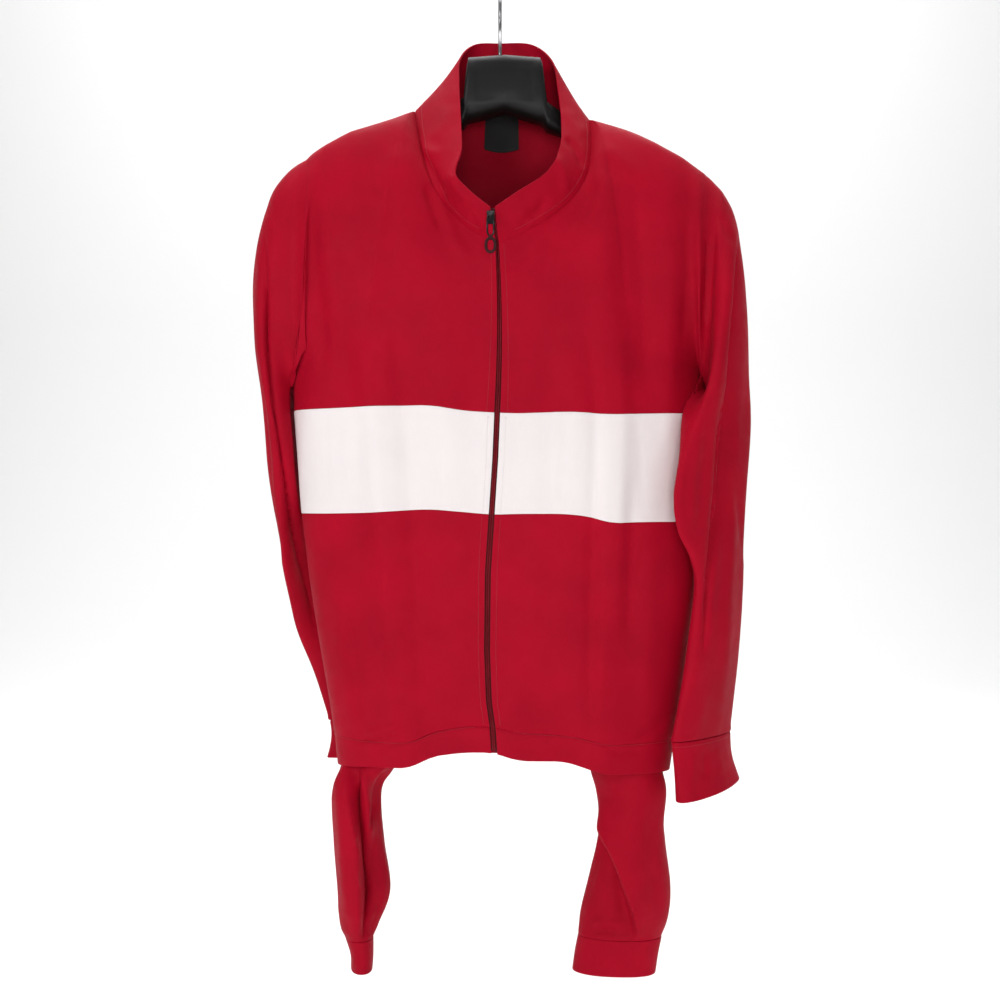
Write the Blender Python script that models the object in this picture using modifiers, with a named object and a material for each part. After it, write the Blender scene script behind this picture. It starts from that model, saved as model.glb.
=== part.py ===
"""A zipped tracksuit on a hanger: the jacket on the arms, the trousers over the bar inside it.

Frame: +X to the photo's right, -Y to the front of the jacket, +Z up, metres.
The origin is the inside of the hook's crown, where a rail carries it. Tables are in millimetres.
"""
import math

import bmesh
import bpy
from mathutils import Vector

MM = 0.001

# Cloth
CLOTH_WALL = 1.5
DOUBLE_WALL = 2.4
SEAM_GAP = 0.3
RIDGE_GAP = 1.6
SLEEVE_CLEARANCE = 3
UNDERARM_HEIGHT = 35

# Body of the jacket
BODY_ROUNDNESS = 2.4
LEG_ROUNDNESS = 2.2
ZIP_OPENING = 6.4
CHEST_BOTTOM = -470
ARMPIT = -440
FRONT_COLUMNS = 12
NECK_COLUMNS = 5
BACK_SHOULDER_COLUMNS = 5
BACK_NECK_COLUMNS = 6
BACK_COLUMNS = 2 * BACK_SHOULDER_COLUMNS + BACK_NECK_COLUMNS
CHEST_ROWS = 10
FRONT_GIRTH = 330
CHEST_HEIGHT = 330
BAND_ROWS = 3
LOWER_ROWS = 6
BACK_LOWER_ROWS = 7
FOLD_DEPTH = 5
FOLD_WIDTH = 24
FOLD_REACH = 1.5
SIDE_SEAM_SHARE = 0.12
LATE_DEPTH = 1.7
EARLY_HEIGHT = 0.7
ZIP_BOW = 2.5
ARMHOLE_PULL = 1.6
YOKE_PULL = 5
CLOTH_SWELL = 8
# millimetres of cloth to one whole share, beside the zip and at the back of the neck
FRONT_SCALE = 230
CHEST_SCALE = 480
YOKE_SCALE = 760

# height, left side seam, zip, right side seam, front depth, back depth
GIRTH = [
    (-440, -236, -3, 229, 80, 78),
    (-470, -233, -3, 229, 80, 78),
    (-520, -229, -5, 229, 80, 78),
    (-583, -224, -9, 228, 79, 78),
    (-650, -216, -13, 222, 77, 76),
    (-740, -202, -14, 211, 74, 74),
    (-800, -192, -12, 203, 72, 72),
    (-830, -188, -8, 197, 70, 70),
    (-870, -184, -6, 192, 71, 71),
]

# across, top of the white band, foot of the white band, hem seam, hem edge
SEAM_LINES = [
    (-235, -467, -582, -829, -862),
    (-190, -467, -582, -829, -864),
    (-145, -466, -581, -831, -859),
    (-97, -465, -578, -830, -857),
    (-75, -465, -577, -819, -845),
    (-40, -471, -580, -812, -840),
    (-8, -473, -583, -812, -840),
    (20, -474, -582, -819, -849),
    (70, -472, -582, -822, -850),
    (97, -473, -585, -827, -859),
    (118, -475, -592, -834, -866),
    (161, -473, -591, -834, -868),
    (235, -471, -591, -834, -872),
]
BAND_TOP, BAND_FOOT, HEM_SEAM, HEM_EDGE = 1, 2, 3, 4
LINE_LEVELS = {BAND_TOP: CHEST_BOTTOM, BAND_FOOT: -583, HEM_SEAM: -830, HEM_EDGE: -866}

# height, left fold, right fold: the two long soft folds down the fronts
FRONT_FOLDS = [
    (-250, -146, 100),
    (-384, -138, 108),
    (-472, -132, 118),
    (-589, -124, 113),
    (-720, -113, 108),
    (-870, -99, 106),
]

# seam of the collar: across, depth, height; edge of the collar: across, depth, height
COLLAR = [
    (-5, -78, -291, -11, -100, -257),
    (-38, -72, -271, -32, -96, -239),
    (-65, -62, -239, -48, -83, -216),
    (-79, -50, -208, -42, -64, -186),
    (-90, -30, -168, -43, -44, -153),
    (-95, 0, -126, -46, -15, -99),
    (-78, 26, -113, -46, 10, -62),
    (-41, 42, -109, -30, 32, -40),
    (2, 48, -109, 0, 40, -36),
    (47, 42, -110, 37, 32, -40),
    (84, 26, -118, 60, 10, -66),
    (100, 0, -135, 66, -14, -108),
    (101, -32, -177, 68, -40, -156),
    (94, -50, -214, 65, -60, -184),
    (72, -62, -246, 50, -80, -215),
    (35, -72, -274, 19, -94, -239),
    (-1, -78, -291, -5, -100, -257),
]
LEFT_NECK_POINT, RIGHT_NECK_POINT = 5, 11
COLLAR_ROWS = 4
NECK_AXIS = (2, -15)
COLLAR_SWELL = 3
COLLAR_STEPS = {"left": 33, "right": 36}
COLLAR_GAP = 0.6
SHARP_COLLAR_FOLD = 11.5
EXTRA_COLLAR_GAP = 0.8

# Armholes: top of the shoulder, under the arm, and how far the front and the back of the loop reach
ARMHOLES = {
    "left": ((-220, 0, -182), (-236, 0, ARMPIT), (13, -48, 6), (8, 46, 6)),
    "right": ((233, 0, -197), (229, 0, ARMPIT), (-12, -48, 6), (-8, 46, 6)),
}
SHOULDER_MIDDLES = {"left": (-160, 0, -148), "right": (168, 0, -158)}

# Sleeve sections: outer edge x, y, z; inner edge x, y, z; half depth; turn of the front, degrees
SLEEVES = {
    "left": [
        (-228, 0, -186, -238, 1, -443, 48, 0),
        (-241, 2, -195, -243, 5, -447, 52, 0),
        (-258, 6, -216, -247, 13, -452, 58, 0),
        (-272, 14, -255, -249, 21, -460, 64, 0),
        (-281, 22, -310, -248, 30, -474, 70, 0),
        (-280, 28, -380, -246, 38, -496, 74, 0),
        (-272, 34, -450, -242, 46, -530, 74, 0),
        (-264, 55, -540, -232, 51, -560, 72, 6),
        (-251, 84, -630, -219, 72, -634, 66, 20),
        (-222, 119, -700, -195, 95, -702, 62, 42),
        (-184, 129, -770, -168, 99, -770, 56, 64),
        (-163, 126, -832, -155, 96, -832, 50, 74),
    ],
    "right": [
        (241, 0, -202, 231, -6, -443, 48, 0),
        (252, 2, -212, 228, -30, -448, 48, 0),
        (264, 5, -238, 219, -54, -457, 44, 8),
        (274, 12, -285, 208, -70, -472, 36, 20),
        (281, 20, -345, 200, -80, -494, 26, 34),
        (287, 22, -410, 193, -88, -525, 16, 42),
        (285, 10, -480, 186, -90, -563, 11, 45),
        (281, 10, -550, 190, -86, -600, 10, 44),
        (278, 16, -610, 206, -74, -630, 13, 50),
        (275, 18, -664, 213, -66, -664, 15, 53),
        (270, 18, -740, 204, -66, -740, 17, 52),
        (262, 16, -829, 187, -66, -829, 15, 48),
    ],
}
# Cuffs: seam, waist and mouth, in the same columns
CUFFS = {
    "left": [
        (-163, 126, -832.7, -155, 96, -832.7, 49, 74),
        (-163, 126, -855, -155, 96, -855, 48, 74),
        (-165, 129, -879, -155, 93, -876, 51, 74),
    ],
    "right": [
        (262, 16, -829.7, 187, -66, -829.7, 15, 48),
        (264, 16, -856, 190, -68, -862, 15, 48),
        (271, 18, -883, 193, -72, -894, 19, 48),
    ],
}
SLEEVE_SIDES = 16
SLEEVE_ROWS = 18
SLEEVE_ROW_WARP = 1.15
CUFF_ROWS = 3

# Legs: middle x, y, z; half width; half depth; turn of the width, degrees
LEGS = {
    "left": [
        (-88, -20, -338, 84, 9, 0),
        (-108, -18, -450, 78, 17, 8),
        (-124, -12, -580, 62, 26, 20),
        (-138, -8, -720, 46, 34, 32),
        (-143, -6, -840, 32, 38, 34),
        (-150, -6, -868, 27, 40, 22),
        (-160, -6, -893, 25, 40, 14),
        (-159, -6, -950, 27, 40, 12),
        (-153, -6, -1005, 28, 36, 10),
        (-158, -6, -1042, 21, 28, 8),
        (-159, -6, -1058, 16, 25, 6),
    ],
    "right": [
        (96, -20, -338, 84, 9, 0),
        (112, -18, -450, 78, 17, -6),
        (124, -12, -580, 66, 24, -14),
        (134, -8, -720, 50, 32, -18),
        (140, -6, -840, 40, 38, -16),
        (143, -6, -868, 39, 38, -16),
        (149, -6, -893, 38, 38, -16),
        (150, -6, -927, 35, 38, -15),
        (149, -6, -950, 38, 38, -14),
        (146, -6, -995, 46, 36, -10),
        (140, -6, -1030, 49, 31, -8),
        (135, -6, -1056, 47, 27, -6),
    ],
}
LEG_CUFFS = {
    "left": [
        (-159, -6, -1058.5, 16, 25, 6),
        (-156, -6, -1078, 13, 24, 6),
        (-156, -6, -1095, 12, 24, 6),
    ],
    "right": [
        (135, -6, -1056.4, 47, 27, -6),
        (131, -6, -1076, 47, 25, -6),
        (128, -6, -1097, 47, 25, -6),
    ],
}
LEG_SIDES = 16
LEG_ROWS = 12

# Trousers over the bar: the sheet's middle line in the Y-Z plane
SEAT_WALL = 3
SEAT_HALF_WIDTH = 176
SEAT_MIDDLE = 4
SEAT_FRONT_FOOT = -337.3
SEAT_BACK_FOOT = -420
SEAT_FRONT_LEAN = 10
SEAT_BACK_LEAN = 22
WAISTBAND_HEIGHT = 40
WAISTBAND_WALL = 5
WAISTBAND_LEAN = 3

# Hanger
BAR_HEIGHT = -245
BAR_RADIUS = 4
BAR_BEND = 6
BEND_SHARE = 0.3
BAR_ENDS = (-196, 206)
HOOK_WIRE = 4
HOOK_RADIUS = 22
SHANK_TOP = -50
# across, top, foot, half depth
HANGER = [
    (-216, -186, -198, 8),
    (-206, -179, -197, 10),
    (-160, -152, -174, 11),
    (-98, -136, -157, 8),
    (-62, -126, -152, 11),
    (-41, -113, -146, 19),
    (-37, -68, -140, 21),
    (6, -65, -129, 21),
    (47, -68, -142, 21),
    (53, -118, -149, 19),
    (76, -134, -158, 11),
    (104, -145, -166, 8),
    (168, -162, -184, 11),
    (218, -194, -212, 10),
    (228, -201, -213, 8),
]
HANGER_SIDES = 12
HANGER_ROUNDNESS = 3.2

# Zip: the shares of its length where the hem seam, the band, the chest and the collar start
ZIP_STAGES = (0, 0.05, 0.4, 0.6, 0.93, 1)
TAPE_WIDTH = 9
TAPE_WALL = 1
SLIDER_SIZE = (8.5, 5, 14)
SLIDER_PLACE = (-10, -101.2, -268)
SLIDER_LEAN = 33
SLIDER_WAIST = 0.8
SLIDER_EDGE = 1
PULL_AXIS = (-10, -106.7, -266)
PULL_WIRE = 1.6
BAIL_HEIGHT = 18
BAIL_WIDTH = 7
LOOP_HEIGHT = 19
LOOP_WIDTH = 11
LOOP_WIRE = 2.6
RING_ROUNDNESS = 2.3

# Label
LABEL_WIDTH = 40
LABEL_HEIGHT = 44
LABEL_WALL = 0.8
LABEL_DROP = 3

# name, colour, roughness, metallic
FINISHES = {
    "red": ("red cloth", (0.386, 0.008, 0.022), 0.6, 0.0),
    "white": ("white cloth", (0.88, 0.82, 0.82), 0.6, 0.0),
    "tape": ("dark red tape", (0.10, 0.006, 0.012), 0.7, 0.0),
    "plastic": ("black plastic", (0.016, 0.013, 0.013), 0.35, 0.0),
    "black": ("black label", (0.01, 0.01, 0.01), 0.8, 0.0),
    "gunmetal": ("dark metal", (0.08, 0.08, 0.085), 0.35, 1.0),
    "chrome": ("bright wire", (0.6, 0.6, 0.62), 0.2, 1.0),
}


def clear_scene():
    for thing in list(bpy.data.objects):
        bpy.data.objects.remove(thing, do_unlink=True)


def make_finish(name, colour, roughness, metallic):
    material = bpy.data.materials.new(name)
    material.use_nodes = True
    shader = material.node_tree.nodes["Principled BSDF"]
    shader.inputs["Base Color"].default_value = (*colour, 1)
    shader.inputs["Roughness"].default_value = roughness
    shader.inputs["Metallic"].default_value = metallic
    return material


def blend(a, b, share):
    return a + (b - a) * share


def smooth_row(rows, at):
    """The row at a fractional place in a table, on a smooth curve through its rows."""
    last = len(rows) - 1
    low = min(int(at), last - 1)
    share = at - low
    before, after = max(low - 1, 0), min(low + 2, last)
    out = []
    for p0, p1, p2, p3 in zip(rows[before], rows[low], rows[low + 1], rows[after]):
        slope1 = (p2 - p0) / 2 if before < low else p2 - p1
        slope2 = (p3 - p1) / 2 if after > low + 1 else p2 - p1
        square, cube = share * share, share ** 3
        out.append(
            (2 * cube - 3 * square + 1) * p1
            + (cube - 2 * square + share) * slope1
            + (3 * square - 2 * cube) * p2
            + (cube - square) * slope2
        )
    return out


def look_up(rows, key):
    """The row of a table for a key in its first column, between its rows."""
    rising = rows[-1][0] > rows[0][0]
    ordered = rows if rising else rows[::-1]
    key = min(max(key, ordered[0][0]), ordered[-1][0])
    for low, high in zip(ordered, ordered[1:]):
        if key <= high[0]:
            share = (key - low[0]) / (high[0] - low[0])
            return [blend(a, b, share) for a, b in zip(low, high)]
    return list(ordered[-1])


def signed_power(value, power):
    return math.copysign(abs(value) ** power, value)


def oval(angle, roundness):
    """A point of a rounded rectangle of half sizes 1: (across, along)."""
    power = 2 / roundness
    return signed_power(math.sin(angle), power), signed_power(math.cos(angle), power)


def seam_height(line, across):
    return look_up(SEAM_LINES, across)[line]


def fold_lift(across, height):
    """How far the front stands out at its two long folds."""
    folds = look_up(FRONT_FOLDS, height)
    lift = 0.0
    for place in folds[1:]:
        lift += FOLD_DEPTH * math.exp(-(((across - place) / FOLD_WIDTH) ** 2))
    return lift


def front_point(side, share, line_low, line_high, rise):
    """A point of the front: share from the zip to the side seam, rise between two seam lines."""
    height = blend(LINE_LEVELS[line_low], LINE_LEVELS[line_high], rise)
    _, left, zipper, right, depth, _ = look_up(GIRTH, height)
    sign = -1 if side == "left" else 1
    edge = zipper + sign * ZIP_OPENING / 2
    seam = left if side == "left" else right
    across, along = oval(share * math.pi / 2, BODY_ROUNDNESS)
    x = edge + (seam - edge) * across
    z = blend(seam_height(line_low, x), seam_height(line_high, x), rise)
    y = -depth * along - fold_lift(x, z) * min(1, along * FOLD_REACH)
    return Vector((x, y, z))


def back_line(line, share):
    """A seam line carried round the back: its height at the left seam, blended to the right."""
    return blend(SEAM_LINES[0][line], SEAM_LINES[-1][line], share)


def back_point(share, line_low, line_high, rise):
    """A point of the back below the armholes: share from the left side seam to the right one."""
    height = blend(LINE_LEVELS[line_low], LINE_LEVELS[line_high], rise)
    _, left, _, right, _, depth = look_up(GIRTH, height)
    across, along = oval((share - 0.5) * math.pi, BODY_ROUNDNESS)
    middle = (left + right) / 2
    z = blend(back_line(line_low, share), back_line(line_high, share), rise)
    return Vector((middle + (right - left) / 2 * across, depth * along, z))


def armhole_point(side, angle):
    """A point of the armhole: 0 at the shoulder, 90 degrees at the front, 180 under the arm."""
    top, under, front, back = (Vector(v) for v in ARMHOLES[side])
    reach = front if math.sin(angle) >= 0 else -back
    return (top + under) / 2 + (top - under) / 2 * math.cos(angle) + reach * math.sin(angle)


def side_edge(side, rise, foot, front):
    """The side seam from the chest's foot up to the armpit, then the armhole up to the shoulder."""
    if rise < SIDE_SEAM_SHARE:
        return foot.lerp(Vector(ARMHOLES[side][1]), rise / SIDE_SEAM_SHARE)
    angle = math.pi * (1 - (rise - SIDE_SEAM_SHARE) / (1 - SIDE_SEAM_SHARE))
    return armhole_point(side, angle if front else -angle)


def neck_point(at):
    return Vector(smooth_row([row[:3] for row in COLLAR], at))


def shoulder_point(side, share):
    """A point of the shoulder seam: 0 at the neck, 1 at the armhole."""
    index = LEFT_NECK_POINT if side == "left" else RIGHT_NECK_POINT
    rows = [COLLAR[index][:3], SHOULDER_MIDDLES[side], ARMHOLES[side][0]]
    return Vector(smooth_row(rows, share * 2))


def front_top(side, share):
    """The chest's upper edge: the neck from the zip to the shoulder, then the shoulder."""
    turn = NECK_COLUMNS / FRONT_COLUMNS
    if share > turn:
        return shoulder_point(side, (share - turn) / (1 - turn))
    if side == "left":
        return neck_point(LEFT_NECK_POINT * share / turn)
    last = len(COLLAR) - 1
    return neck_point(last - (last - RIGHT_NECK_POINT) * share / turn)


def back_top(share):
    """The back's upper edge: left shoulder, neck, right shoulder."""
    turn = BACK_SHOULDER_COLUMNS / BACK_COLUMNS
    if share < turn:
        return shoulder_point("left", 1 - share / turn)
    if share > 1 - turn:
        return shoulder_point("right", (share - 1 + turn) / turn)
    between = (share - turn) / (1 - 2 * turn)
    return neck_point(blend(LEFT_NECK_POINT, RIGHT_NECK_POINT, between))


def rise_between(foot, top, rise, rounding):
    """Straight across, late in depth, and early in height where the shoulder rounds over."""
    late = rise ** LATE_DEPTH
    early = 1 - (1 - rise) ** (1 + EARLY_HEIGHT * rounding)
    return Vector((
        blend(foot.x, top.x, rise),
        blend(foot.y, top.y, late),
        blend(foot.z, top.z, early),
    ))


def shoulder_rounding(share, turn):
    """0 at the middle of the garment and at the armhole, 1 where the neck meets the shoulder."""
    if share < turn:
        return (share / turn) ** 2
    return 1 - ((share - turn) / (1 - turn)) ** 3


def chest_point(side, share, rise):
    """The chest from the white band to the neck and shoulder, filled in between its four edges."""
    foot, first, last = (front_point(side, at, BAND_TOP, BAND_TOP, 0) for at in (share, 0, 1))
    rounding = shoulder_rounding(share, NECK_COLUMNS / FRONT_COLUMNS)
    point = rise_between(foot, front_top(side, share), rise, rounding)
    zipper = first.lerp(front_top(side, 0), rise)
    zipper.x += ZIP_BOW * math.sin(math.pi * rise)
    outer = side_edge(side, rise, last, True)
    point += (zipper - rise_between(first, front_top(side, 0), rise, 0)) * (1 - share)
    point += (outer - rise_between(last, front_top(side, 1), rise, 0)) * share ** ARMHOLE_PULL
    swell = math.sin(math.pi * rise) ** 2 * math.sin(math.pi * share)
    point.y -= CLOTH_SWELL * swell
    return point


def yoke_point(share, rise):
    """The back above the armpits, filled in between its four edges."""
    foot = back_point(share, BAND_TOP, BAND_TOP, 0)
    from_middle = abs(2 * share - 1)
    rounding = shoulder_rounding(from_middle, BACK_NECK_COLUMNS / BACK_COLUMNS)
    point = rise_between(foot, back_top(share), rise, rounding)
    for side, place, weight in (("left", 0, 1 - share), ("right", 1, share)):
        corner = back_point(place, BAND_TOP, BAND_TOP, 0)
        edge = side_edge(side, rise, corner, False)
        point += (edge - rise_between(corner, back_top(place), rise, 0)) * weight ** YOKE_PULL
    point.y += CLOTH_SWELL * math.sin(math.pi * rise) ** 2 * math.sin(math.pi * share)
    return point


def new_piece(name, bm, finish, smooth=True):
    mesh = bpy.data.meshes.new(name)
    bm.to_mesh(mesh)
    bm.free()
    piece = bpy.data.objects.new(name, mesh)
    bpy.data.collections["tracksuit"].objects.link(piece)
    mesh.materials.append(bpy.data.materials[FINISHES[finish][0]])
    if smooth:
        mesh.shade_smooth()
        mesh.set_sharp_from_angle(angle=math.radians(40))
    return piece


def add_wall(piece, wall):
    """Thickness inwards from the outer face."""
    solid = piece.modifiers.new("wall", "SOLIDIFY")
    solid.thickness = wall * MM
    solid.offset = -1
    solid.use_even_offset = False


def sheet(name, columns, rows, place, outward, wall, finish):
    """An open panel: a grid whose points are placed by a function of (share, rise)."""
    bm = bmesh.new()
    bmesh.ops.create_grid(bm, x_segments=columns, y_segments=rows, size=0.5)
    for vertex in bm.verts:
        share, rise = vertex.co.x + 0.5, vertex.co.y + 0.5
        vertex.co = place(share, rise) * MM
    bm.normal_update()
    facing = sum((face.normal * face.calc_area() for face in bm.faces), Vector())
    if facing.dot(Vector(outward)) < 0:
        bmesh.ops.reverse_faces(bm, faces=bm.faces)
    piece = new_piece(name, bm, finish)
    add_wall(piece, wall)
    return piece


def tube(name, sides, rows, place, wall, finish):
    """An open tube: rings whose points are placed by a function of (angle, rise)."""
    bm = bmesh.new()
    rings = []
    for row in range(rows + 1):
        angles = [2 * math.pi * side / sides for side in range(sides)]
        rings.append([bm.verts.new(place(angle, row / rows) * MM) for angle in angles])
    for low, high in zip(rings, rings[1:]):
        for side in range(sides):
            after = (side + 1) % sides
            bm.faces.new((low[side], low[after], high[after], high[side]))
    bm.normal_update()
    outside = 0.0
    for low, high in zip(rings, rings[1:]):
        centre = sum((v.co for v in low + high), Vector()) / (2 * sides)
        for vertex in low:
            for face in vertex.link_faces:
                outside += face.normal.dot(vertex.co - centre) / len(rings)
    if outside < 0:
        bmesh.ops.reverse_faces(bm, faces=bm.faces)
    piece = new_piece(name, bm, finish)
    add_wall(piece, wall)
    return piece


def inset(value, gap, length):
    """A share from 0 to 1 drawn in by a gap at each end of a length."""
    return gap / length + value * (1 - 2 * gap / length)


def panel_between(side, line_high, line_low):
    """The front between two seam lines, drawn in at its seams."""
    height = LINE_LEVELS[line_high] - LINE_LEVELS[line_low]

    def place(share, rise):
        across = share * (1 - RIDGE_GAP / 2 / FRONT_GIRTH)
        return front_point(side, across, line_low, line_high, inset(rise, SEAM_GAP / 2, height))

    return place


def build_fronts():
    forward = (0, -1, 0)
    for side in ("left", "right"):
        lower = panel_between(side, BAND_FOOT, HEM_SEAM)
        band = panel_between(side, BAND_TOP, BAND_FOOT)

        def chest(share, rise, side=side):
            start, end = SEAM_GAP / 2 / CHEST_HEIGHT, 1 - RIDGE_GAP / 2 / CHEST_HEIGHT
            across = share * (1 - RIDGE_GAP / 2 / FRONT_GIRTH)
            return chest_point(side, across, blend(start, end, rise))

        for name, rows, place, finish in (
            ("lower", LOWER_ROWS, lower, "red"),
            ("band", BAND_ROWS, band, "white"),
            ("chest", CHEST_ROWS, chest, "red"),
        ):
            sheet(f"front_{side}_{name}", FRONT_COLUMNS, rows, place, forward, CLOTH_WALL, finish)


def build_back():
    rows = BACK_LOWER_ROWS + CHEST_ROWS
    turn = BACK_LOWER_ROWS / rows

    def place(share, rise):
        across = inset(share, RIDGE_GAP / 2, 2 * FRONT_GIRTH)
        if rise <= turn:
            start = SEAM_GAP / 2 / CHEST_HEIGHT
            return back_point(across, HEM_SEAM, BAND_TOP, blend(start, 1, rise / turn))
        up = (rise - turn) / (1 - turn) * (1 - RIDGE_GAP / 2 / CHEST_HEIGHT)
        return yoke_point(across, up)

    sheet("back", BACK_COLUMNS, rows, place, (0, 1, 0), CLOTH_WALL, "red")


def build_hem_band():
    """One strip from the zip round the back to the zip."""
    columns = 2 * FRONT_COLUMNS + BACK_COLUMNS
    height = LINE_LEVELS[HEM_SEAM] - LINE_LEVELS[HEM_EDGE]

    def place(share, rise):
        at = share * columns
        up = rise * (1 - SEAM_GAP / 2 / height)
        if at < FRONT_COLUMNS:
            return front_point("left", at / FRONT_COLUMNS, HEM_EDGE, HEM_SEAM, up)
        if at > columns - FRONT_COLUMNS:
            return front_point("right", (columns - at) / FRONT_COLUMNS, HEM_EDGE, HEM_SEAM, up)
        return back_point((at - FRONT_COLUMNS) / BACK_COLUMNS, HEM_EDGE, HEM_SEAM, up)

    sheet("hem_band", columns, 2, place, (0, 0, 1), DOUBLE_WALL, "red")


def collar_point(at, rise):
    row = smooth_row(COLLAR, at)
    seam, edge = Vector(row[:3]), Vector(row[3:])
    point = seam.lerp(edge, rise)
    outward = Vector((seam.x - NECK_AXIS[0], seam.y - NECK_AXIS[1], 0)).normalized()
    return point + outward * COLLAR_SWELL * math.sin(math.pi * rise)


def build_collar():
    last = len(COLLAR) - 1

    def place(share, rise):
        at = share * last
        point = collar_point(at, rise)
        sharp = max(0, 1 - abs(at - SHARP_COLLAR_FOLD) / 2)
        gap = COLLAR_GAP + sharp * EXTRA_COLLAR_GAP
        point += (Vector((*NECK_AXIS, point.z)) - point).normalized() * gap
        point.z += gap
        return point

    sheet("collar", last, COLLAR_ROWS, place, (0, 0, -1), DOUBLE_WALL, "red")


def sleeve_ring(side, row, angle):
    outer, inner = Vector(row[:3]), Vector(row[3:6])
    depth, turn = row[6], math.radians(row[7])
    sign = -1 if side == "left" else 1
    forward = Vector((sign * math.sin(turn), -math.cos(turn), 0))
    middle = (outer + inner) / 2
    return middle + (outer - inner) / 2 * math.cos(angle) + forward * depth * math.sin(angle)


def clear_of_body(point):
    """Pushed out to the jacket's side where the table's section would reach into it."""
    _, left, zipper, right, front, back = look_up(GIRTH, point.z)
    near = min(max((ARMPIT - point.z) / 30, 0), 1)
    above = point.z > ARMPIT + UNDERARM_HEIGHT
    clearance = blend(SEAM_GAP, SLEEVE_CLEARANCE, near)
    width = (zipper - left if point.x < zipper else right - zipper) + clearance
    depth = (front + FOLD_DEPTH * near if point.y < 0 else back) + clearance
    across, along = (point.x - zipper) / width, point.y / depth
    inside = abs(across) ** BODY_ROUNDNESS + abs(along) ** BODY_ROUNDNESS
    if above or inside >= 1:
        return point
    grow = inside ** (-1 / BODY_ROUNDNESS)
    return Vector((zipper + (point.x - zipper) * grow, point.y * grow, point.z))


def sleeve_point(side, angle, rise):
    """The sleeve from the armhole, at 0, to the cuff's seam, at 1."""
    rows = SLEEVES[side]
    at = rise * len(rows)
    head = armhole_point(side, angle)
    if at >= 1:
        return clear_of_body(sleeve_ring(side, smooth_row(rows, at - 1), angle))
    return head.lerp(clear_of_body(sleeve_ring(side, rows[0], angle)), at)


def build_sleeves():
    for side in ("left", "right"):
        sign = -1 if side == "left" else 1
        start = Vector((sign * SEAM_GAP * 2, 0, 0))

        def place(angle, rise, side=side, start=start):
            warped = rise ** SLEEVE_ROW_WARP
            return sleeve_point(side, angle, warped) + start * (1 - rise)

        def cuff_place(angle, rise, side=side):
            return sleeve_ring(side, smooth_row(CUFFS[side], rise * 2), angle)

        tube(f"sleeve_{side}", SLEEVE_SIDES, SLEEVE_ROWS, place, CLOTH_WALL, "red")
        tube(f"cuff_{side}", SLEEVE_SIDES, CUFF_ROWS, cuff_place, DOUBLE_WALL, "red")


def leg_ring(row, angle):
    x, y, z, width, depth, turn = row
    turned = math.radians(turn)
    across, along = oval(angle, LEG_ROUNDNESS)
    offset = Vector((width * across, -depth * along, 0))
    return Vector((
        x + offset.x * math.cos(turned) - offset.y * math.sin(turned),
        y + offset.x * math.sin(turned) + offset.y * math.cos(turned),
        z,
    ))


def build_legs():
    for side in ("left", "right"):

        def place(angle, rise, side=side):
            return leg_ring(smooth_row(LEGS[side], rise * (len(LEGS[side]) - 1)), angle)

        def cuff_place(angle, rise, side=side):
            return leg_ring(smooth_row(LEG_CUFFS[side], rise * 2), angle)

        tube(f"leg_{side}", LEG_SIDES, LEG_ROWS, place, CLOTH_WALL, "red")
        tube(f"leg_cuff_{side}", LEG_SIDES, 2, cuff_place, DOUBLE_WALL, "red")


def build_seat():
    """The top of the trousers, folded over the bar."""
    radius = BAR_RADIUS + SEAT_WALL + SEAM_GAP
    straight_front = BAR_HEIGHT - SEAT_FRONT_FOOT
    straight_back = BAR_HEIGHT - SEAT_BACK_FOOT
    arc = math.pi * radius
    whole = straight_front + arc + straight_back

    def line(length):
        if length < straight_front:
            lean = SEAT_FRONT_LEAN * (1 - length / straight_front)
            return -radius - lean, SEAT_FRONT_FOOT + length
        if length < straight_front + arc:
            angle = (length - straight_front) / radius
            return -radius * math.cos(angle), BAR_HEIGHT + radius * math.sin(angle)
        down = length - straight_front - arc
        return radius + SEAT_BACK_LEAN * down / straight_back, BAR_HEIGHT - down

    def place(share, rise):
        steps = [0, straight_front / 2, straight_front]
        steps += [straight_front + arc * part / 6 for part in range(1, 7)]
        steps += [straight_front + arc + straight_back * part / 2 for part in (1, 2)]
        y, z = line(min(steps[round(rise * 10)], whole))
        x = SEAT_MIDDLE + (share - 0.5) * 2 * SEAT_HALF_WIDTH
        return Vector((x, y, z))

    sheet("trouser_seat", 4, 10, place, (0, 0, 1), SEAT_WALL, "red")

    def band_place(share, rise):
        y = radius + SEAT_BACK_LEAN + WAISTBAND_LEAN * rise
        z = SEAT_BACK_FOOT - SEAM_GAP - WAISTBAND_HEIGHT * rise
        x = SEAT_MIDDLE + (share - 0.5) * 2 * SEAT_HALF_WIDTH
        return Vector((x, y, z))

    sheet("waistband", 4, 1, band_place, (0, 1, 0), WAISTBAND_WALL, "red")


def wire(name, points, radius, closed, finish, resolution=2):
    """A bent wire as a curve with a round bevel and filled caps."""
    curve = bpy.data.curves.new(name, "CURVE")
    curve.dimensions = "3D"
    curve.bevel_depth = radius * MM
    curve.bevel_resolution = resolution
    curve.use_fill_caps = True
    spline = curve.splines.new("POLY")
    spline.points.add(len(points) - 1)
    for target, point in zip(spline.points, points):
        target.co = (*(Vector(point) * MM), 1)
    spline.use_cyclic_u = closed
    curve.materials.append(bpy.data.materials[FINISHES[finish][0]])
    piece = bpy.data.objects.new(name, curve)
    bpy.data.collections["tracksuit"].objects.link(piece)
    return piece


def hanger_top(across):
    """The height of the flat on top of the moulded body."""
    _, top, foot, _ = look_up(HANGER, across)
    up = oval(math.pi / HANGER_SIDES, HANGER_ROUNDNESS)[1]
    return (top + foot) / 2 + (top - foot) / 2 * up


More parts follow.
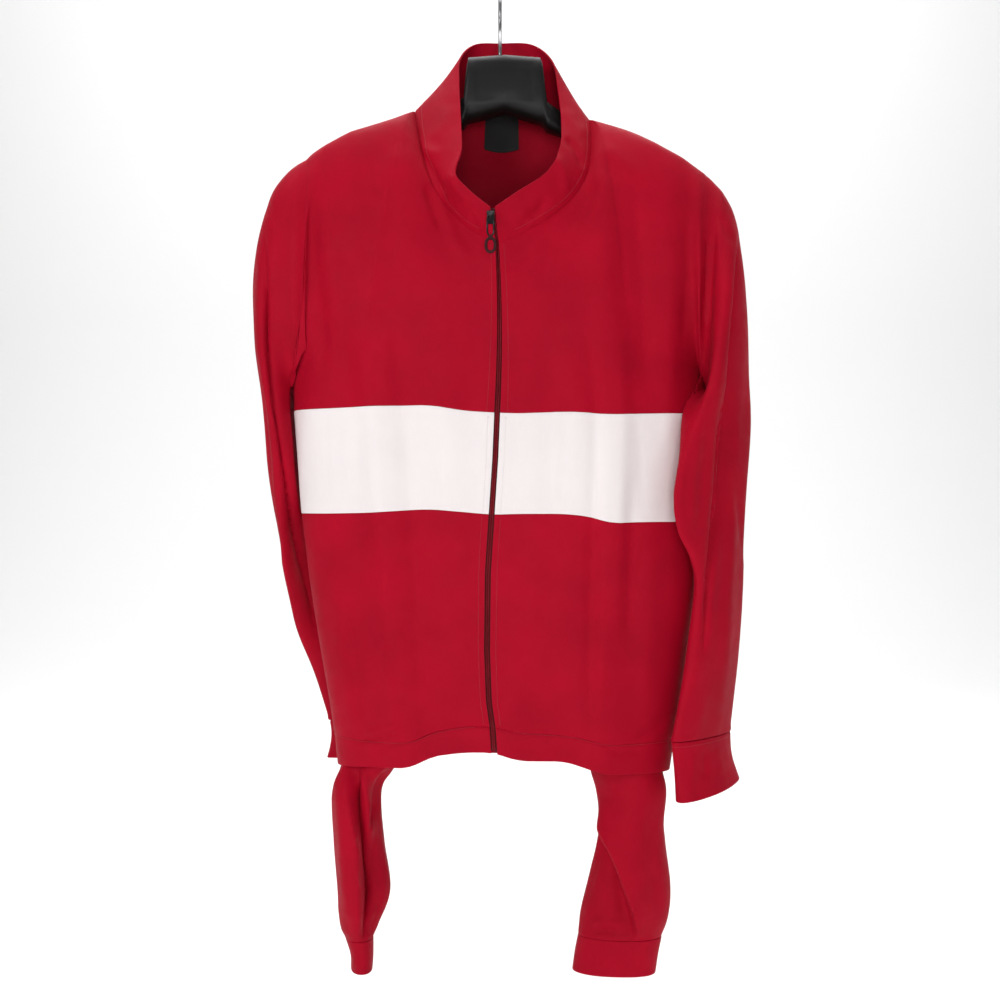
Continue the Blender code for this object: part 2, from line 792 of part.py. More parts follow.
def build_hanger():
    """The moulded body is a loft of rounded sections along X, closed at its tips."""
    bm = bmesh.new()
    sides = HANGER_SIDES
    rings = []
    for across, top, foot, depth in HANGER:
        ring = []
        for side in range(sides):
            along, up = oval(2 * math.pi * (side + 0.5) / sides, HANGER_ROUNDNESS)
            height = (top + foot) / 2 + (top - foot) / 2 * up
            ring.append(bm.verts.new(Vector((across, depth * along, height)) * MM))
        rings.append(ring)
    for low, high in zip(rings, rings[1:]):
        for side in range(sides):
            after = (side + 1) % sides
            bm.faces.new((low[side], low[after], high[after], high[side]))
    bm.faces.new(rings[0][::-1])
    bm.faces.new(rings[-1])
    bmesh.ops.recalc_face_normals(bm, faces=bm.faces)
    new_piece("hanger_body", bm, "plastic")

    left, right = BAR_ENDS
    bend, near = BAR_BEND, BAR_BEND * BEND_SHARE
    left_top = look_up(HANGER, left - BAR_RADIUS)[2] - SEAM_GAP
    right_top = look_up(HANGER, right + BAR_RADIUS)[2] - SEAM_GAP
    route = [
        (left, 0, left_top),
        (left, 0, BAR_HEIGHT + bend),
        (left + near, 0, BAR_HEIGHT + near),
        (left + bend, 0, BAR_HEIGHT),
        (right - bend, 0, BAR_HEIGHT),
        (right - near, 0, BAR_HEIGHT + near),
        (right, 0, BAR_HEIGHT + bend),
        (right, 0, right_top),
    ]
    wire("trouser_bar", route, BAR_RADIUS, False, "plastic")


def build_hook():
    """Edge on to the front: up the shank, over the crown and down to the tip."""
    crown = HOOK_WIRE / 2 - HOOK_RADIUS
    turn_start, turn_end, steps = -48, 205, 14
    foot = hanger_top(HOOK_WIRE / 2) + SEAM_GAP
    route = [(0, 0, foot), (0, 1, SHANK_TOP)]
    for step in range(steps + 1):
        angle = math.radians(blend(turn_start, turn_end, step / steps))
        route.append((0, HOOK_RADIUS * math.cos(angle), crown + HOOK_RADIUS * math.sin(angle)))
    wire("hook", route, HOOK_WIRE / 2, False, "chrome")


def zip_edge(side, rise, beside=0):
    """A point of the zip's edge from the hem to the collar's edge, or a little beside it."""
    legs = ((HEM_EDGE, HEM_SEAM), (HEM_SEAM, BAND_FOOT), (BAND_FOOT, BAND_TOP))
    for (low, high), start, end in zip(legs, ZIP_STAGES, ZIP_STAGES[1:]):
        if rise < end:
            across = (beside / FRONT_SCALE) ** (BODY_ROUNDNESS / 2)
            share = math.asin(across) / (math.pi / 2)
            return front_point(side, share, low, high, (rise - start) / (end - start))
    chest, collar, top = ZIP_STAGES[3:]
    if rise < collar:
        return chest_point(side, beside / CHEST_SCALE, (rise - chest) / (collar - chest))
    at = beside / COLLAR_STEPS[side]
    if side == "right":
        at = len(COLLAR) - 1 - at
    return collar_point(at, (rise - collar) / (top - collar))


def build_zip():
    """Two tapes behind the fronts' edges; each follows the cloth that it is sewn to."""
    step = 0.01
    collar_start, lateness = 0.9, 8
    behind_chest = DOUBLE_WALL + 3 * SEAM_GAP
    behind_collar = DOUBLE_WALL + RIDGE_GAP + 4 * SEAM_GAP

    for side in ("left", "right"):
        sign = -1 if side == "left" else 1

        def place(share, rise, side=side, sign=sign):
            height = blend(step / 2, 1 - step / 2, rise)
            low, high = zip_edge(side, height - step / 2), zip_edge(side, height + step / 2)
            along = (high - low).normalized()
            beside = SEAM_GAP + TAPE_WIDTH * share
            point = zip_edge(side, height, max(beside - ZIP_OPENING / 2, 0))
            middle = (zip_edge("left", height) + zip_edge("right", height)).x / 2
            behind = blend(behind_chest, behind_collar, min(height / collar_start, 1) ** lateness)
            point += Vector((0, along.z, -along.y)) * behind
            point.x = middle + sign * beside
            return point

        sheet(f"zip_tape_{side}", 2, 28, place, (0, -1, 0), TAPE_WALL, "tape")


def build_slider():
    """The slider is a rounded block on the closed zip, leaning with the collar."""
    bm = bmesh.new()
    bmesh.ops.create_cube(bm, size=1)
    for vertex in bm.verts:
        waist = SLIDER_WAIST if vertex.co.z < 0 else 1.0
        vertex.co.x *= SLIDER_SIZE[0] * waist * MM
        vertex.co.y *= SLIDER_SIZE[1] * MM
        vertex.co.z *= SLIDER_SIZE[2] * MM
    piece = new_piece("zip_slider", bm, "gunmetal", smooth=False)
    piece.location = Vector(SLIDER_PLACE) * MM
    piece.rotation_euler = (math.radians(SLIDER_LEAN), 0, 0)
    edge = piece.modifiers.new("edge", "BEVEL")
    edge.width = SLIDER_EDGE * MM
    edge.segments = 2
    edge.limit_method = "ANGLE"


def oval_route(x, y, top, width, height, steps):
    route = []
    for step in range(steps):
        across, up = oval(2 * math.pi * step / steps, RING_ROUNDNESS)
        route.append((x + width / 2 * across, y, top - height / 2 + height / 2 * up))
    return route


def build_pull():
    """A wire bail on the slider's bridge, and an oval loop that hangs from it."""
    x, y, z = PULL_AXIS
    bail = oval_route(x, y, z, BAIL_WIDTH, BAIL_HEIGHT, 14)
    wire("pull_bail", bail, PULL_WIRE / 2, True, "gunmetal")
    loop_top = z - BAIL_HEIGHT - PULL_WIRE / 2 - SEAM_GAP - LOOP_WIRE / 2
    loop = oval_route(x, y, loop_top, LOOP_WIDTH, LOOP_HEIGHT, 16)
    wire("pull_loop", loop, LOOP_WIRE / 2, True, "plastic")


def on_faces(place, columns, rows, share, rise):
    """A point on the flat faces of a panel that has so many columns and rows."""
    column = min(int(share * columns), columns - 1)
    row = min(int(rise * rows), rows - 1)
    corners = [
        place((column + i) / columns, (row + j) / rows) for j in (0, 1) for i in (0, 1)
    ]
    across, up = share * columns - column, rise * rows - row
    low = corners[0].lerp(corners[1], across)
    return low.lerp(corners[2].lerp(corners[3], across), up)


def build_label():
    """On the inside of the back, just under the collar's seam."""
    half_share = LABEL_WIDTH / 2 / YOKE_SCALE
    lower = 0.02

    def place(share, rise):
        up = 1 - (LABEL_DROP + LABEL_HEIGHT * (1 - rise)) / CHEST_HEIGHT
        across = 0.5 + (share - 0.5) * 2 * half_share
        point = on_faces(yoke_point, BACK_COLUMNS, CHEST_ROWS, across, up)
        below = on_faces(yoke_point, BACK_COLUMNS, CHEST_ROWS, across, up - lower)
        along = (point - below).normalized()
        inward = Vector((0, -along.z, along.y))
        return point + inward * (CLOTH_WALL + 2 * SEAM_GAP)

    sheet("label", 4, 4, place, (0, 1, 0), LABEL_WALL, "black")


def main():
    clear_scene()
    collection = bpy.data.collections.new("tracksuit")
    bpy.context.scene.collection.children.link(collection)
    for finish in FINISHES.values():
        make_finish(*finish)
    build_fronts()
    build_back()
    build_hem_band()
    build_collar()
    build_sleeves()
    build_legs()
    build_seat()
    build_hanger()
    build_hook()
    build_zip()
    build_slider()
    build_pull()
    build_label()


main()
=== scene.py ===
"""The looks of a red zipped tracksuit on a hanger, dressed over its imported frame.

Frame: +X to the right in the front view, -Y to the front, +Z up, origin inside the hook's crown.
Tables are in millimetres, as a pattern cutter would measure them; meshes are in metres.
"""

import logging
import math
from collections.abc import Callable, Iterator, Sequence
from contextlib import contextmanager
from dataclasses import dataclass, field
from enum import Enum

import bmesh
import bpy
import numpy as np
from mathutils import Matrix, Vector


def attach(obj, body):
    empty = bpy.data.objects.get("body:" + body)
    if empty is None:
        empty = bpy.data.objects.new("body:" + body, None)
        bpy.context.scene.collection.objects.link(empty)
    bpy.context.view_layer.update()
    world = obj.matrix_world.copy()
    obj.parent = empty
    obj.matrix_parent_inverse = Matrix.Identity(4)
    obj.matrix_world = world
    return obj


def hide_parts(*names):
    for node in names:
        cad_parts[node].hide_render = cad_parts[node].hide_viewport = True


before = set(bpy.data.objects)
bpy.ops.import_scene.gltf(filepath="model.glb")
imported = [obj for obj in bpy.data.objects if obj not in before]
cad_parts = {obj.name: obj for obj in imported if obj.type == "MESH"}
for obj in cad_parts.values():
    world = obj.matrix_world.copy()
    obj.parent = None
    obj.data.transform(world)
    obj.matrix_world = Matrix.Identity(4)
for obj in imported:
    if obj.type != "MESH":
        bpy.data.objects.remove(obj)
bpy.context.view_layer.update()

MM = 0.001
LOG = logging.getLogger("tracksuit")

Piece = bpy.types.Object
Socket = bpy.types.NodeSocket
Point = tuple[float, float]
Triple = tuple[float, float, float]
Row = Sequence[float]
Place = Callable[[float, float], Vector]

# Body of the jacket
BODY_ROUNDNESS = 2.4
ZIP_OPENING = 6.4
ARMPIT = -440.0
UNDERARM_HEIGHT = 35.0
SLEEVE_CLEARANCE = 3.0
CLEARANCE_RISE = 30
FRONT_GIRTH = 330.0
CHEST_HEIGHT = 330.0
FRONT_COLUMNS = 12
NECK_COLUMNS = 5
BACK_SHOULDER_COLUMNS = 5
BACK_NECK_COLUMNS = 6
BACK_COLUMNS = 2 * BACK_SHOULDER_COLUMNS + BACK_NECK_COLUMNS
FOLD_DEPTH = 5.0
FOLD_WIDTH = 24.0
SEAM_GAP = 0.3
COLLAR_SHARE = 0.93
ARMHOLE_FILL = 9.0
ARMHOLE_FILL_REACH = 22.0
SIDE_SEAM_SHARE = 0.12
SEAM_ROUNDING = 9.0
FOLD_FADE = 1.5
DEPTH_LATENESS = 1.7
SHOULDER_EARLINESS = 0.7
CHEST_FULLNESS = 8.0
ZIP_BOW = 2.5
CHEST_EDGE_POWER = 1.6
BACK_EDGE_POWER = 5
COLLAR_FULLNESS = 3
LEG_ROUNDNESS = 2.2
# Shares of the zip's length at the hem's seam, at the white band's foot and at its top
ZIP_STOPS = (0.05, 0.4, 0.6)
# The cloth's width beside the zip, in millimetres: lower front, chest, collar to the left and to the right
LOWER_WIDTH, CHEST_WIDTH, COLLAR_WIDTHS = 230, 480, (33, 36)

# The photograph's camera, in millimetres and pixels
CAMERA_DISTANCE = 1500
CAMERA_LEVEL = -567.0
FOCAL_PIXELS = 1324
PHOTO_MIDDLE = 500
OUTLINE_SOFTNESS = 3
OUTLINE_REACH = 12
OUTLINE_LIMIT = 40
# What the lights look at, in metres
JACKET_MIDDLE = (0, 0, -0.55)

# Creases: how soon they rise from their ends, how soon they fade as the cloth turns away, and how
# far a step's slope reaches, in millimetres
END_TAPER = 1.6
TURN_FADE = 3.0
STEP_REACH = 2.4

# How edges are finished, in millimetres
CALM_REACH = 7
SEAM_DIP = 0.3
SEAM_DIP_REACH = 1.4

# Points closer than this in metres become one, and so many points measure a line of a shape
WELD = 0.000002
LINE_SAMPLES = 161

# The slider's plates: wider than this in millimetres, and drawn in at the foot by this share
PLATE_WIDTH = 5
PLATE_WAIST = 0.28

# height, left side seam, zip, right side seam, front depth, back depth
GIRTH = [
    (-440, -236, -3, 229, 80, 78),
    (-470, -233, -3, 229, 80, 78),
    (-520, -229, -5, 229, 80, 78),
    (-583, -224, -9, 228, 79, 78),
    (-650, -216, -13, 222, 77, 76),
    (-740, -202, -14, 211, 74, 74),
    (-800, -192, -12, 203, 72, 72),
    (-830, -188, -8, 197, 70, 70),
    (-870, -184, -6, 192, 71, 71),
]

# across, top of the white band, foot of the white band, hem seam, hem edge
SEAM_LINES = [
    (-235, -467, -582, -829, -862),
    (-190, -467, -582, -829, -864),
    (-145, -466, -581, -831, -859),
    (-97, -465, -578, -830, -857),
    (-75, -465, -577, -819, -845),
    (-40, -471, -580, -812, -840),
    (-8, -473, -583, -812, -840),
    (20, -474, -582, -819, -849),
    (70, -472, -582, -822, -850),
    (97, -473, -585, -827, -859),
    (118, -475, -592, -834, -866),
    (161, -473, -591, -834, -868),
    (235, -471, -591, -834, -872),
]

# height, left fold, right fold: the two long soft folds down the fronts
FRONT_FOLDS = [
    (-250, -146, 100),
    (-384, -138, 108),
    (-472, -132, 118),
    (-589, -124, 113),
    (-720, -113, 108),
    (-870, -99, 106),
]

# seam of the collar: across, depth, height; edge of the collar: across, depth, height
COLLAR = [
    (-5, -78, -291, -11, -100, -257),
    (-38, -72, -271, -32, -96, -239),
    (-65, -62, -239, -48, -83, -216),
    (-79, -50, -208, -42, -64, -186),
    (-90, -30, -168, -43, -44, -153),
    (-95, 0, -126, -46, -15, -99),
    (-78, 26, -113, -46, 10, -62),
    (-41, 42, -109, -30, 32, -40),
    (2, 48, -109, 0, 40, -36),
    (47, 42, -110, 37, 32, -40),
    (84, 26, -118, 60, 10, -66),
    (100, 0, -135, 66, -14, -108),
    (101, -32, -177, 68, -40, -156),
    (94, -50, -214, 65, -60, -184),
    (72, -62, -246, 50, -80, -215),
    (35, -72, -274, 19, -94, -239),
    (-1, -78, -291, -5, -100, -257),
]
LEFT_NECK_POINT, RIGHT_NECK_POINT = 5, 11
NECK_AXIS = (2, -15)

# Armholes: top of the shoulder, under the arm, reach of the front and of the back
ARMHOLES = {
    "left": ((-220, 0, -182), (-236, 0, ARMPIT), (13, -48, 6), (8, 46, 6)),
    "right": ((233, 0, -197), (229, 0, ARMPIT), (-12, -48, 6), (-8, 46, 6)),
}
# The shoulders' outline in the photograph's pixels: across, down
SHOULDER_OUTLINE = (
    (262, 200), (266, 193), (283, 174), (300, 160), (325, 144), (350, 131), (384, 120), (416, 110), (430, 60),
    (578, 60), (590, 117), (622, 129), (656, 143), (684, 158), (710, 176), (724, 191), (736, 210),
)
SHOULDER_MIDDLES = {"left": (-160, 0, -148), "right": (168, 0, -158)}

# Sleeve sections: outer edge x, y, z; inner edge x, y, z; half depth; turn of the front, degrees
SLEEVES = {
    "left": [
        (-228, 0, -186, -238, 1, -443, 48, 0),
        (-241, 2, -195, -243, 5, -447, 52, 0),
        (-258, 6, -216, -247, 13, -452, 58, 0),
        (-272, 14, -255, -249, 21, -460, 64, 0),
        (-281, 22, -310, -248, 30, -474, 70, 0),
        (-280, 28, -380, -246, 38, -496, 74, 0),
        (-272, 34, -450, -242, 46, -530, 74, 0),
        (-264, 55, -540, -232, 51, -560, 72, 6),
        (-251, 84, -630, -219, 72, -634, 66, 20),
        (-222, 119, -700, -195, 95, -702, 62, 42),
        (-184, 129, -770, -168, 99, -770, 56, 64),
        (-163, 126, -832, -155, 96, -832, 50, 74),
    ],
    "right": [
        (241, 0, -202, 231, -6, -443, 48, 0),
        (252, 2, -212, 228, -30, -448, 48, 0),
        (264, 5, -238, 219, -54, -457, 44, 8),
        (274, 12, -285, 208, -70, -472, 36, 20),
        (281, 20, -345, 200, -80, -494, 26, 34),
        (287, 22, -410, 193, -88, -525, 16, 42),
        (285, 10, -480, 186, -90, -563, 11, 45),
        (281, 10, -550, 190, -86, -600, 10, 44),
        (278, 16, -610, 206, -74, -630, 13, 50),
        (275, 18, -664, 213, -66, -664, 15, 53),
        (270, 18, -740, 204, -66, -740, 17, 52),
        (262, 16, -829, 187, -66, -829, 15, 48),
    ],
}
# Cuffs in the same columns: seam, waist and mouth
CUFFS = {
    "left": [
        (-163, 126, -832.7, -155, 96, -832.7, 49, 74),
        (-163, 126, -855, -155, 96, -855, 48, 74),
        (-165, 129, -879, -155, 93, -876, 51, 74),
    ],
    "right": [
        (262, 16, -829.7, 187, -66, -829.7, 15, 48),
        (264, 16, -856, 190, -68, -862, 15, 48),
        (271, 18, -883, 193, -72, -894, 19, 48),
    ],
}

# Legs: middle x, y, z; half width; half depth; turn of the width, degrees
LEGS = {
    "left": [
        (-88, -20, -338, 84, 9, 0),
        (-108, -18, -450, 78, 17, 8),
        (-124, -12, -580, 62, 26, 20),
        (-138, -8, -720, 46, 34, 32),
        (-143, -6, -840, 32, 38, 34),
        (-150, -6, -868, 27, 40, 22),
        (-160, -6, -893, 25, 40, 14),
        (-159, -6, -950, 27, 40, 12),
        (-153, -6, -1005, 28, 36, 10),
        (-158, -6, -1042, 21, 28, 8),
        (-159, -6, -1058, 16, 25, 6),
    ],
    "right": [
        (96, -20, -338, 84, 9, 0),
        (112, -18, -450, 78, 17, -6),
        (124, -12, -580, 66, 24, -14),
        (134, -8, -720, 50, 32, -18),
        (140, -6, -840, 40, 38, -16),
        (143, -6, -868, 39, 38, -16),
        (149, -6, -893, 38, 38, -16),
        (150, -6, -927, 35, 38, -15),
        (149, -6, -950, 38, 38, -14),
        (146, -6, -995, 46, 36, -10),
        (140, -6, -1030, 49, 31, -8),
        (135, -6, -1056, 47, 27, -6),
    ],
}
LEG_CUFFS = {
    "left": [
        (-159, -6, -1058.5, 16, 25, 6),
        (-156, -6, -1078, 13, 24, 6),
        (-156, -6, -1095, 12, 24, 6),
    ],
    "right": [
        (135, -6, -1056.4, 47, 27, -6),
        (131, -6, -1076, 47, 25, -6),
        (128, -6, -1097, 47, 25, -6),
    ],
}

# Moulded hanger: across, top, foot, half depth
HANGER = [
    (-216, -186, -198, 8),
    (-206, -179, -197, 10),
    (-160, -152, -174, 11),
    (-98, -136, -157, 8),
    (-62, -126, -152, 11),
    (-41, -113, -146, 19),
    (-37, -68, -140, 21),
    (6, -65, -129, 21),
    (47, -68, -142, 21),
    (53, -118, -149, 19),
    (76, -134, -158, 11),
    (104, -145, -166, 8),
    (168, -162, -184, 11),
    (218, -194, -212, 10),
    (228, -201, -213, 8),
]


class Side(Enum):
    """The wearer's two sides as the front view shows them."""

    LEFT = "left"
    RIGHT = "right"

    @property
    def sign(self) -> int:
        """-1 on the left of the front view, 1 on the right."""
        return -1 if self is Side.LEFT else 1


class Line(Enum):
    """Columns of SEAM_LINES, each with the level at which GIRTH is read."""

    BAND_TOP = (1, -470.0)
    BAND_FOOT = (2, -583.0)
    HEM_SEAM = (3, -830.0)
    HEM_EDGE = (4, -866.0)

    @property
    def column(self) -> int:
        """The column of SEAM_LINES."""
        return self.value[0]

    @property
    def level(self) -> float:
        """The height at which the girth is read, in millimetres."""
        return self.value[1]


class Facing(Enum):
    """Which side of the garment a crease is seen from: the facing direction, and its flat axes."""

    FRONT = ((0, -1, 0), 0, 2)
    BACK = ((0, 1, 0), 0, 2)
    LEFT = ((-1, 0, 0), 1, 2)
    RIGHT = ((1, 0, 0), 1, 2)


class Profile(Enum):
    """The cut across a crease: a soft swell, a sharp pinch, or a step where one layer tucks under."""

    SOFT = "soft"
    SHARP = "sharp"
    STEP = "step"


@dataclass(frozen=True)
class Crease:
    """One fold placed along its route.

    Args:
        route: points along the fold, in millimetres on the two axes of its facing.
        height: how far it stands out, or in where negative; for a step, how far the left side sinks.
        width: the reach of its sides.
        profile: its cut across.
        facing: the side of the garment that it is on.
    """

    route: tuple[Point, ...]
    height: float
    width: float
    profile: Profile = Profile.SOFT
    facing: Facing = Facing.FRONT

    def lift(self, points: np.ndarray, normals: np.ndarray) -> np.ndarray:
        """How far this crease moves each point along its normal.

        Args:
            points: places in millimetres, one row each.
            normals: unit normals, one row each.

        Returns:
            Millimetres for each point.
        """
        direction, first, second = self.facing.value
        flat = points[:, (first, second)]
        best = np.full(len(flat), 1e9)
        signed = np.zeros(len(flat))
        along = np.zeros(len(flat))
        legs = list(zip(self.route, self.route[1:]))
        lengths = [math.dist(a, b) for a, b in legs]
        whole, run = sum(lengths), 0.0
        for (start, end), length in zip(legs, lengths):
            way = (np.array(end) - np.array(start)) / length
            offset = flat - np.array(start)
            share = np.clip(offset @ way, 0, length)
            rest = offset - share[:, None] * way
            distance = np.hypot(rest[:, 0], rest[:, 1])
            cross = way[0] * rest[:, 1] - way[1] * rest[:, 0]
            nearer = distance < best
            best = np.where(nearer, distance, best)
            signed = np.where(nearer, np.copysign(distance, cross), signed)
            along = np.where(nearer, (run + share) / whole, along)
            run += length
        taper = np.clip(np.sin(np.pi * np.clip(along, 0, 1)) * END_TAPER, 0, 1)
        if self.profile is Profile.SOFT:
            cut = np.exp(-((best / self.width) ** 2))
        elif self.profile is Profile.SHARP:
            cut = np.exp(-best / self.width)
        else:
            cut = -np.tanh(signed / STEP_REACH) * np.exp(-best / self.width)
        towards = np.clip((normals @ np.array(direction, dtype=float)) * TURN_FADE, 0, 1)
        return self.height * cut * taper * towards


def on_photo(depth: float, x: float, y: float) -> Point:
    """A pixel of the photograph on an upright plane, as millimetres across and up."""
    scale = (CAMERA_DISTANCE + depth) / FOCAL_PIXELS
    return (x - PHOTO_MIDDLE) * scale, CAMERA_LEVEL - (y - PHOTO_MIDDLE) * scale


def photo_folds(depth: float, rows: Sequence[Row], profile: Profile = Profile.SOFT) -> tuple[Crease, ...]:
    """Folds traced from the photograph.

    Args:
        depth: the place, front to back, of the plane that they are traced on.
        rows: height and width of each fold, then its pixels across and down.
        profile: their cut across.

    Returns:
        The folds.
    """
    return tuple(
        Crease(tuple(on_photo(depth, x, y) for x, y in zip(row[2::2], row[3::2])), row[0], row[1], profile)
        for row in rows
    )


def hidden_folds(facing: Facing, rows: Sequence[Row]) -> tuple[Crease, ...]:
    """Folds on a side that the photograph does not show, with their points in millimetres."""
    return tuple(
        Crease(tuple(zip(row[2::2], row[3::2])), row[0], row[1], facing=facing) for row in rows
    )


# Folds: height, width, then the points along each. First the jacket's front, as the photograph shows it
BODY_CREASES = photo_folds(-80, (
    (-3.0, 11, 385, 255, 402, 400, 412, 516, 418, 640, 426, 765),
    (3.4, 12, 352, 250, 368, 400, 378, 516, 388, 640, 398, 765),
    (-4.5, 8, 588, 330, 597, 412, 594, 516, 591, 640, 590, 765),
    (2.0, 14, 566, 300, 574, 420, 570, 560, 566, 700),
    (2.5, 10, 618, 300, 624, 412, 620, 516, 614, 640),
    (-3.5, 9, 303, 178, 307, 220, 315, 300, 322, 380),
    (2.5, 12, 324, 190, 329, 250, 338, 330),
    (2.0, 8, 288, 215, 292, 270, 300, 340),
    (1.4, 15, 440, 300, 446, 420, 452, 560, 455, 680),
    (-1.2, 12, 470, 330, 474, 500, 470, 700),
    (1.2, 14, 530, 300, 534, 480, 532, 690),
    (-2.4, 9, 634, 170, 640, 230, 646, 330, 650, 400),
    (1.8, 10, 604, 160, 614, 200, 620, 270),
    (2.2, 11, 668, 190, 672, 260, 674, 360, 668, 470),
    (-2.6, 8, 690, 205, 692, 270, 688, 340),
    (1.8, 12, 655, 520, 652, 620, 650, 730),
    (-1.6, 8, 634, 470, 632, 560, 630, 660),
    (1.0, 6, 345, 402, 346, 515),
    (0.9, 6, 557, 412, 556, 517),
    (1.8, 12, 330, 560, 338, 640, 350, 740),
    (-1.5, 8, 345, 600, 356, 690, 366, 745),
    (-2.4, 3.5, 352, 748, 378, 739, 404, 731),
    (1.6, 4, 360, 739, 384, 732, 402, 726),
    (-1.4, 3, 372, 760, 388, 748, 403, 744),
    (1.2, 6, 420, 742, 426, 768),
    (-1.2, 3, 604, 752, 625, 758, 648, 756),
    (-1.6, 4, 640, 742, 658, 736, 672, 728),
    (2.6, 8, 436, 196, 450, 232, 468, 262),
    (-3.4, 6, 424, 178, 434, 206, 446, 236),
    (-1.4, 8, 560, 226, 548, 254, 540, 290),
    (-2.8, 8, 596, 176, 584, 206, 568, 230),
    (-1.2, 5, 500, 268, 516, 262, 536, 246),
    (1.4, 12, 404, 140, 384, 168, 372, 206),
    (1.4, 10, 602, 136, 628, 158, 650, 176),
)) + photo_folds(-80, (
    (-1.0, 4, 323, 404, 323, 460, 324, 514),
    (-0.9, 5, 440, 405, 442, 512),
    (-1.1, 5, 640, 415, 644, 520),
), Profile.SHARP)

# The jacket's hidden back: long folds from the shoulder blades, and a slack cross fold at the waist
BACK_CREASES = hidden_folds(Facing.BACK, (
    (4.0, 20, -150, -215, -142, -420, -120, -640, -104, -850),
    (-3.0, 13, -112, -240, -106, -450, -92, -690),
    (4.5, 22, 128, -230, 132, -440, 120, -650, 104, -850),
    (-3.2, 14, 92, -260, 94, -470, 84, -700),
    (2.2, 26, -20, -210, -26, -480, -18, -800),
    (-2.0, 16, 40, -300, 46, -520, 38, -760),
    (2.0, 14, -70, -330, -64, -560, -56, -800),
    (-2.6, 12, 176, -260, 186, -420, 178, -600),
    (-2.6, 12, -190, -260, -200, -420, -184, -600),
    (-1.8, 13, -150, -700, -60, -722, 40, -716, 140, -694),
    (1.6, 10, -120, -772, -20, -786, 100, -770),
    (-0.8, 2.6, -66, -176, 0, -178, 68, -176),
    (2.0, 10, -64, -130, -96, -176, -120, -236),
    (2.0, 10, 68, -134, 98, -184, 124, -250),
    (-1.6, 4, -130, -812, -110, -838),
    (-1.4, 5, -40, -810, -30, -842),
    (-1.6, 4, 60, -812, 74, -844),
    (-1.4, 5, 140, -814, 150, -850),
))

COLLAR_CREASES = photo_folds(-80, (
    (-4.0, 4.4, 417, 144, 428, 162, 438, 182, 446, 200),
    (2.6, 7, 408, 128, 420, 140, 440, 150),
    (2.6, 5, 448, 170, 456, 190, 470, 206),
    (-3.0, 5, 567, 128, 578, 142, 586, 162),
    (2.4, 6, 556, 150, 564, 170, 566, 192),
    (-2.2, 5, 548, 196, 538, 212, 520, 226),
    (1.0, 5, 520, 208, 530, 222, 534, 236),
    (-0.9, 3, 470, 214, 476, 226, 480, 238),
    (1.2, 8, 452, 90, 444, 112, 432, 132),
    (1.2, 8, 566, 92, 576, 110, 590, 124),
))

LEFT_SLEEVE_CREASES = photo_folds(-30, (
    (-9.0, 3.4, 264, 230, 269, 330, 280, 440, 291, 540, 304, 650),
), Profile.SHARP) + photo_folds(-30, (
    (1.6, 6, 256, 210, 262, 300, 272, 420),
    (-1.4, 6, 262, 196, 272, 214, 288, 232),
)) + hidden_folds(Facing.LEFT, (
    (1.2, 15, -20, -240, 6, -380, 40, -540, 84, -700),
    (-5.5, 12, 20, -300, 44, -470, 80, -620),
    (2.4, 14, 60, -330, 78, -470, 110, -620, 140, -760),
    (-4.5, 9, -34, -400, -14, -520, 26, -640),
    (-3.0, 9, 96, -600, 116, -690, 124, -790),
    (-2.6, 8, 60, -610, 84, -622, 120, -616),
    (2.2, 8, 54, -646, 86, -660, 128, -650),
    (-2.0, 4, 84, -800, 90, -832),
    (1.6, 4, 104, -796, 106, -834),
    (-2.0, 4, 124, -800, 122, -832),
    (-1.6, 4, 144, -798, 140, -832),
)) + hidden_folds(Facing.BACK, (
    (3.0, 10, -250, -560, -226, -660, -190, -760),
    (-2.6, 8, -236, -520, -206, -640, -176, -740),
))

RIGHT_SLEEVE_CREASES = photo_folds(-20, (
    (7.0, 9.0, 738, 232, 727, 297, 720, 360, 718, 440, 714, 510, 700, 575),
), Profile.STEP) + photo_folds(-20, (
    (-10.0, 3.2, 741, 232, 730, 297, 723, 360, 721, 440, 717, 510, 703, 575),
), Profile.SHARP) + photo_folds(-30, (
    (-9.0, 3.6, 717, 385, 713, 470, 707, 560, 698, 660),
), Profile.SHARP) + photo_folds(-60, (
    (-7.0, 3.6, 709, 226, 704, 300, 700, 372),
), Profile.SHARP) + photo_folds(-80, (
    (-5.0, 3.4, 657, 494, 668, 507, 676, 520),
), Profile.SHARP) + photo_folds(-20, (
    (3.0, 7, 727, 240, 712, 330, 706, 420, 702, 500, 694, 560),
    (3.0, 9, 744, 300, 736, 400, 732, 520, 724, 640, 716, 740),
    (-2.4, 8, 730, 470, 722, 560, 706, 650, 694, 730),
    (-2.0, 5, 700, 230, 704, 262, 700, 310),
    (-1.6, 5, 716, 215, 722, 236, 734, 250),
    (1.8, 5, 692, 430, 686, 480, 684, 530),
    (2.2, 8, 712, 600, 702, 680, 690, 738),
    (-1.4, 3, 690, 735, 700, 742, 716, 744),
)) + hidden_folds(Facing.RIGHT, (
    (0.8, 12, -30, -250, -14, -420, 0, -600, 10, -780),
    (-5.0, 8, 6, -260, 14, -430, 22, -620, 24, -790),
    (-2.4, 9, -40, -480, -20, -560, 6, -640),
)) + hidden_folds(Facing.BACK, (
    (-3.0, 10, 250, -300, 262, -480, 254, -680),
    (2.6, 12, 230, -420, 244, -560, 236, -740),
    (-2.2, 8, 206, -520, 222, -640, 214, -790),
))

RIGHT_CUFF_CREASES = photo_folds(-40, (
    (1.6, 5, 690, 748, 688, 776, 684, 798),
    (-1.8, 4, 704, 748, 704, 776),
    (1.2, 5, 718, 748, 724, 776),
)) + hidden_folds(Facing.BACK, (
    (-1.8, 5, 230, -840, 236, -880),
))

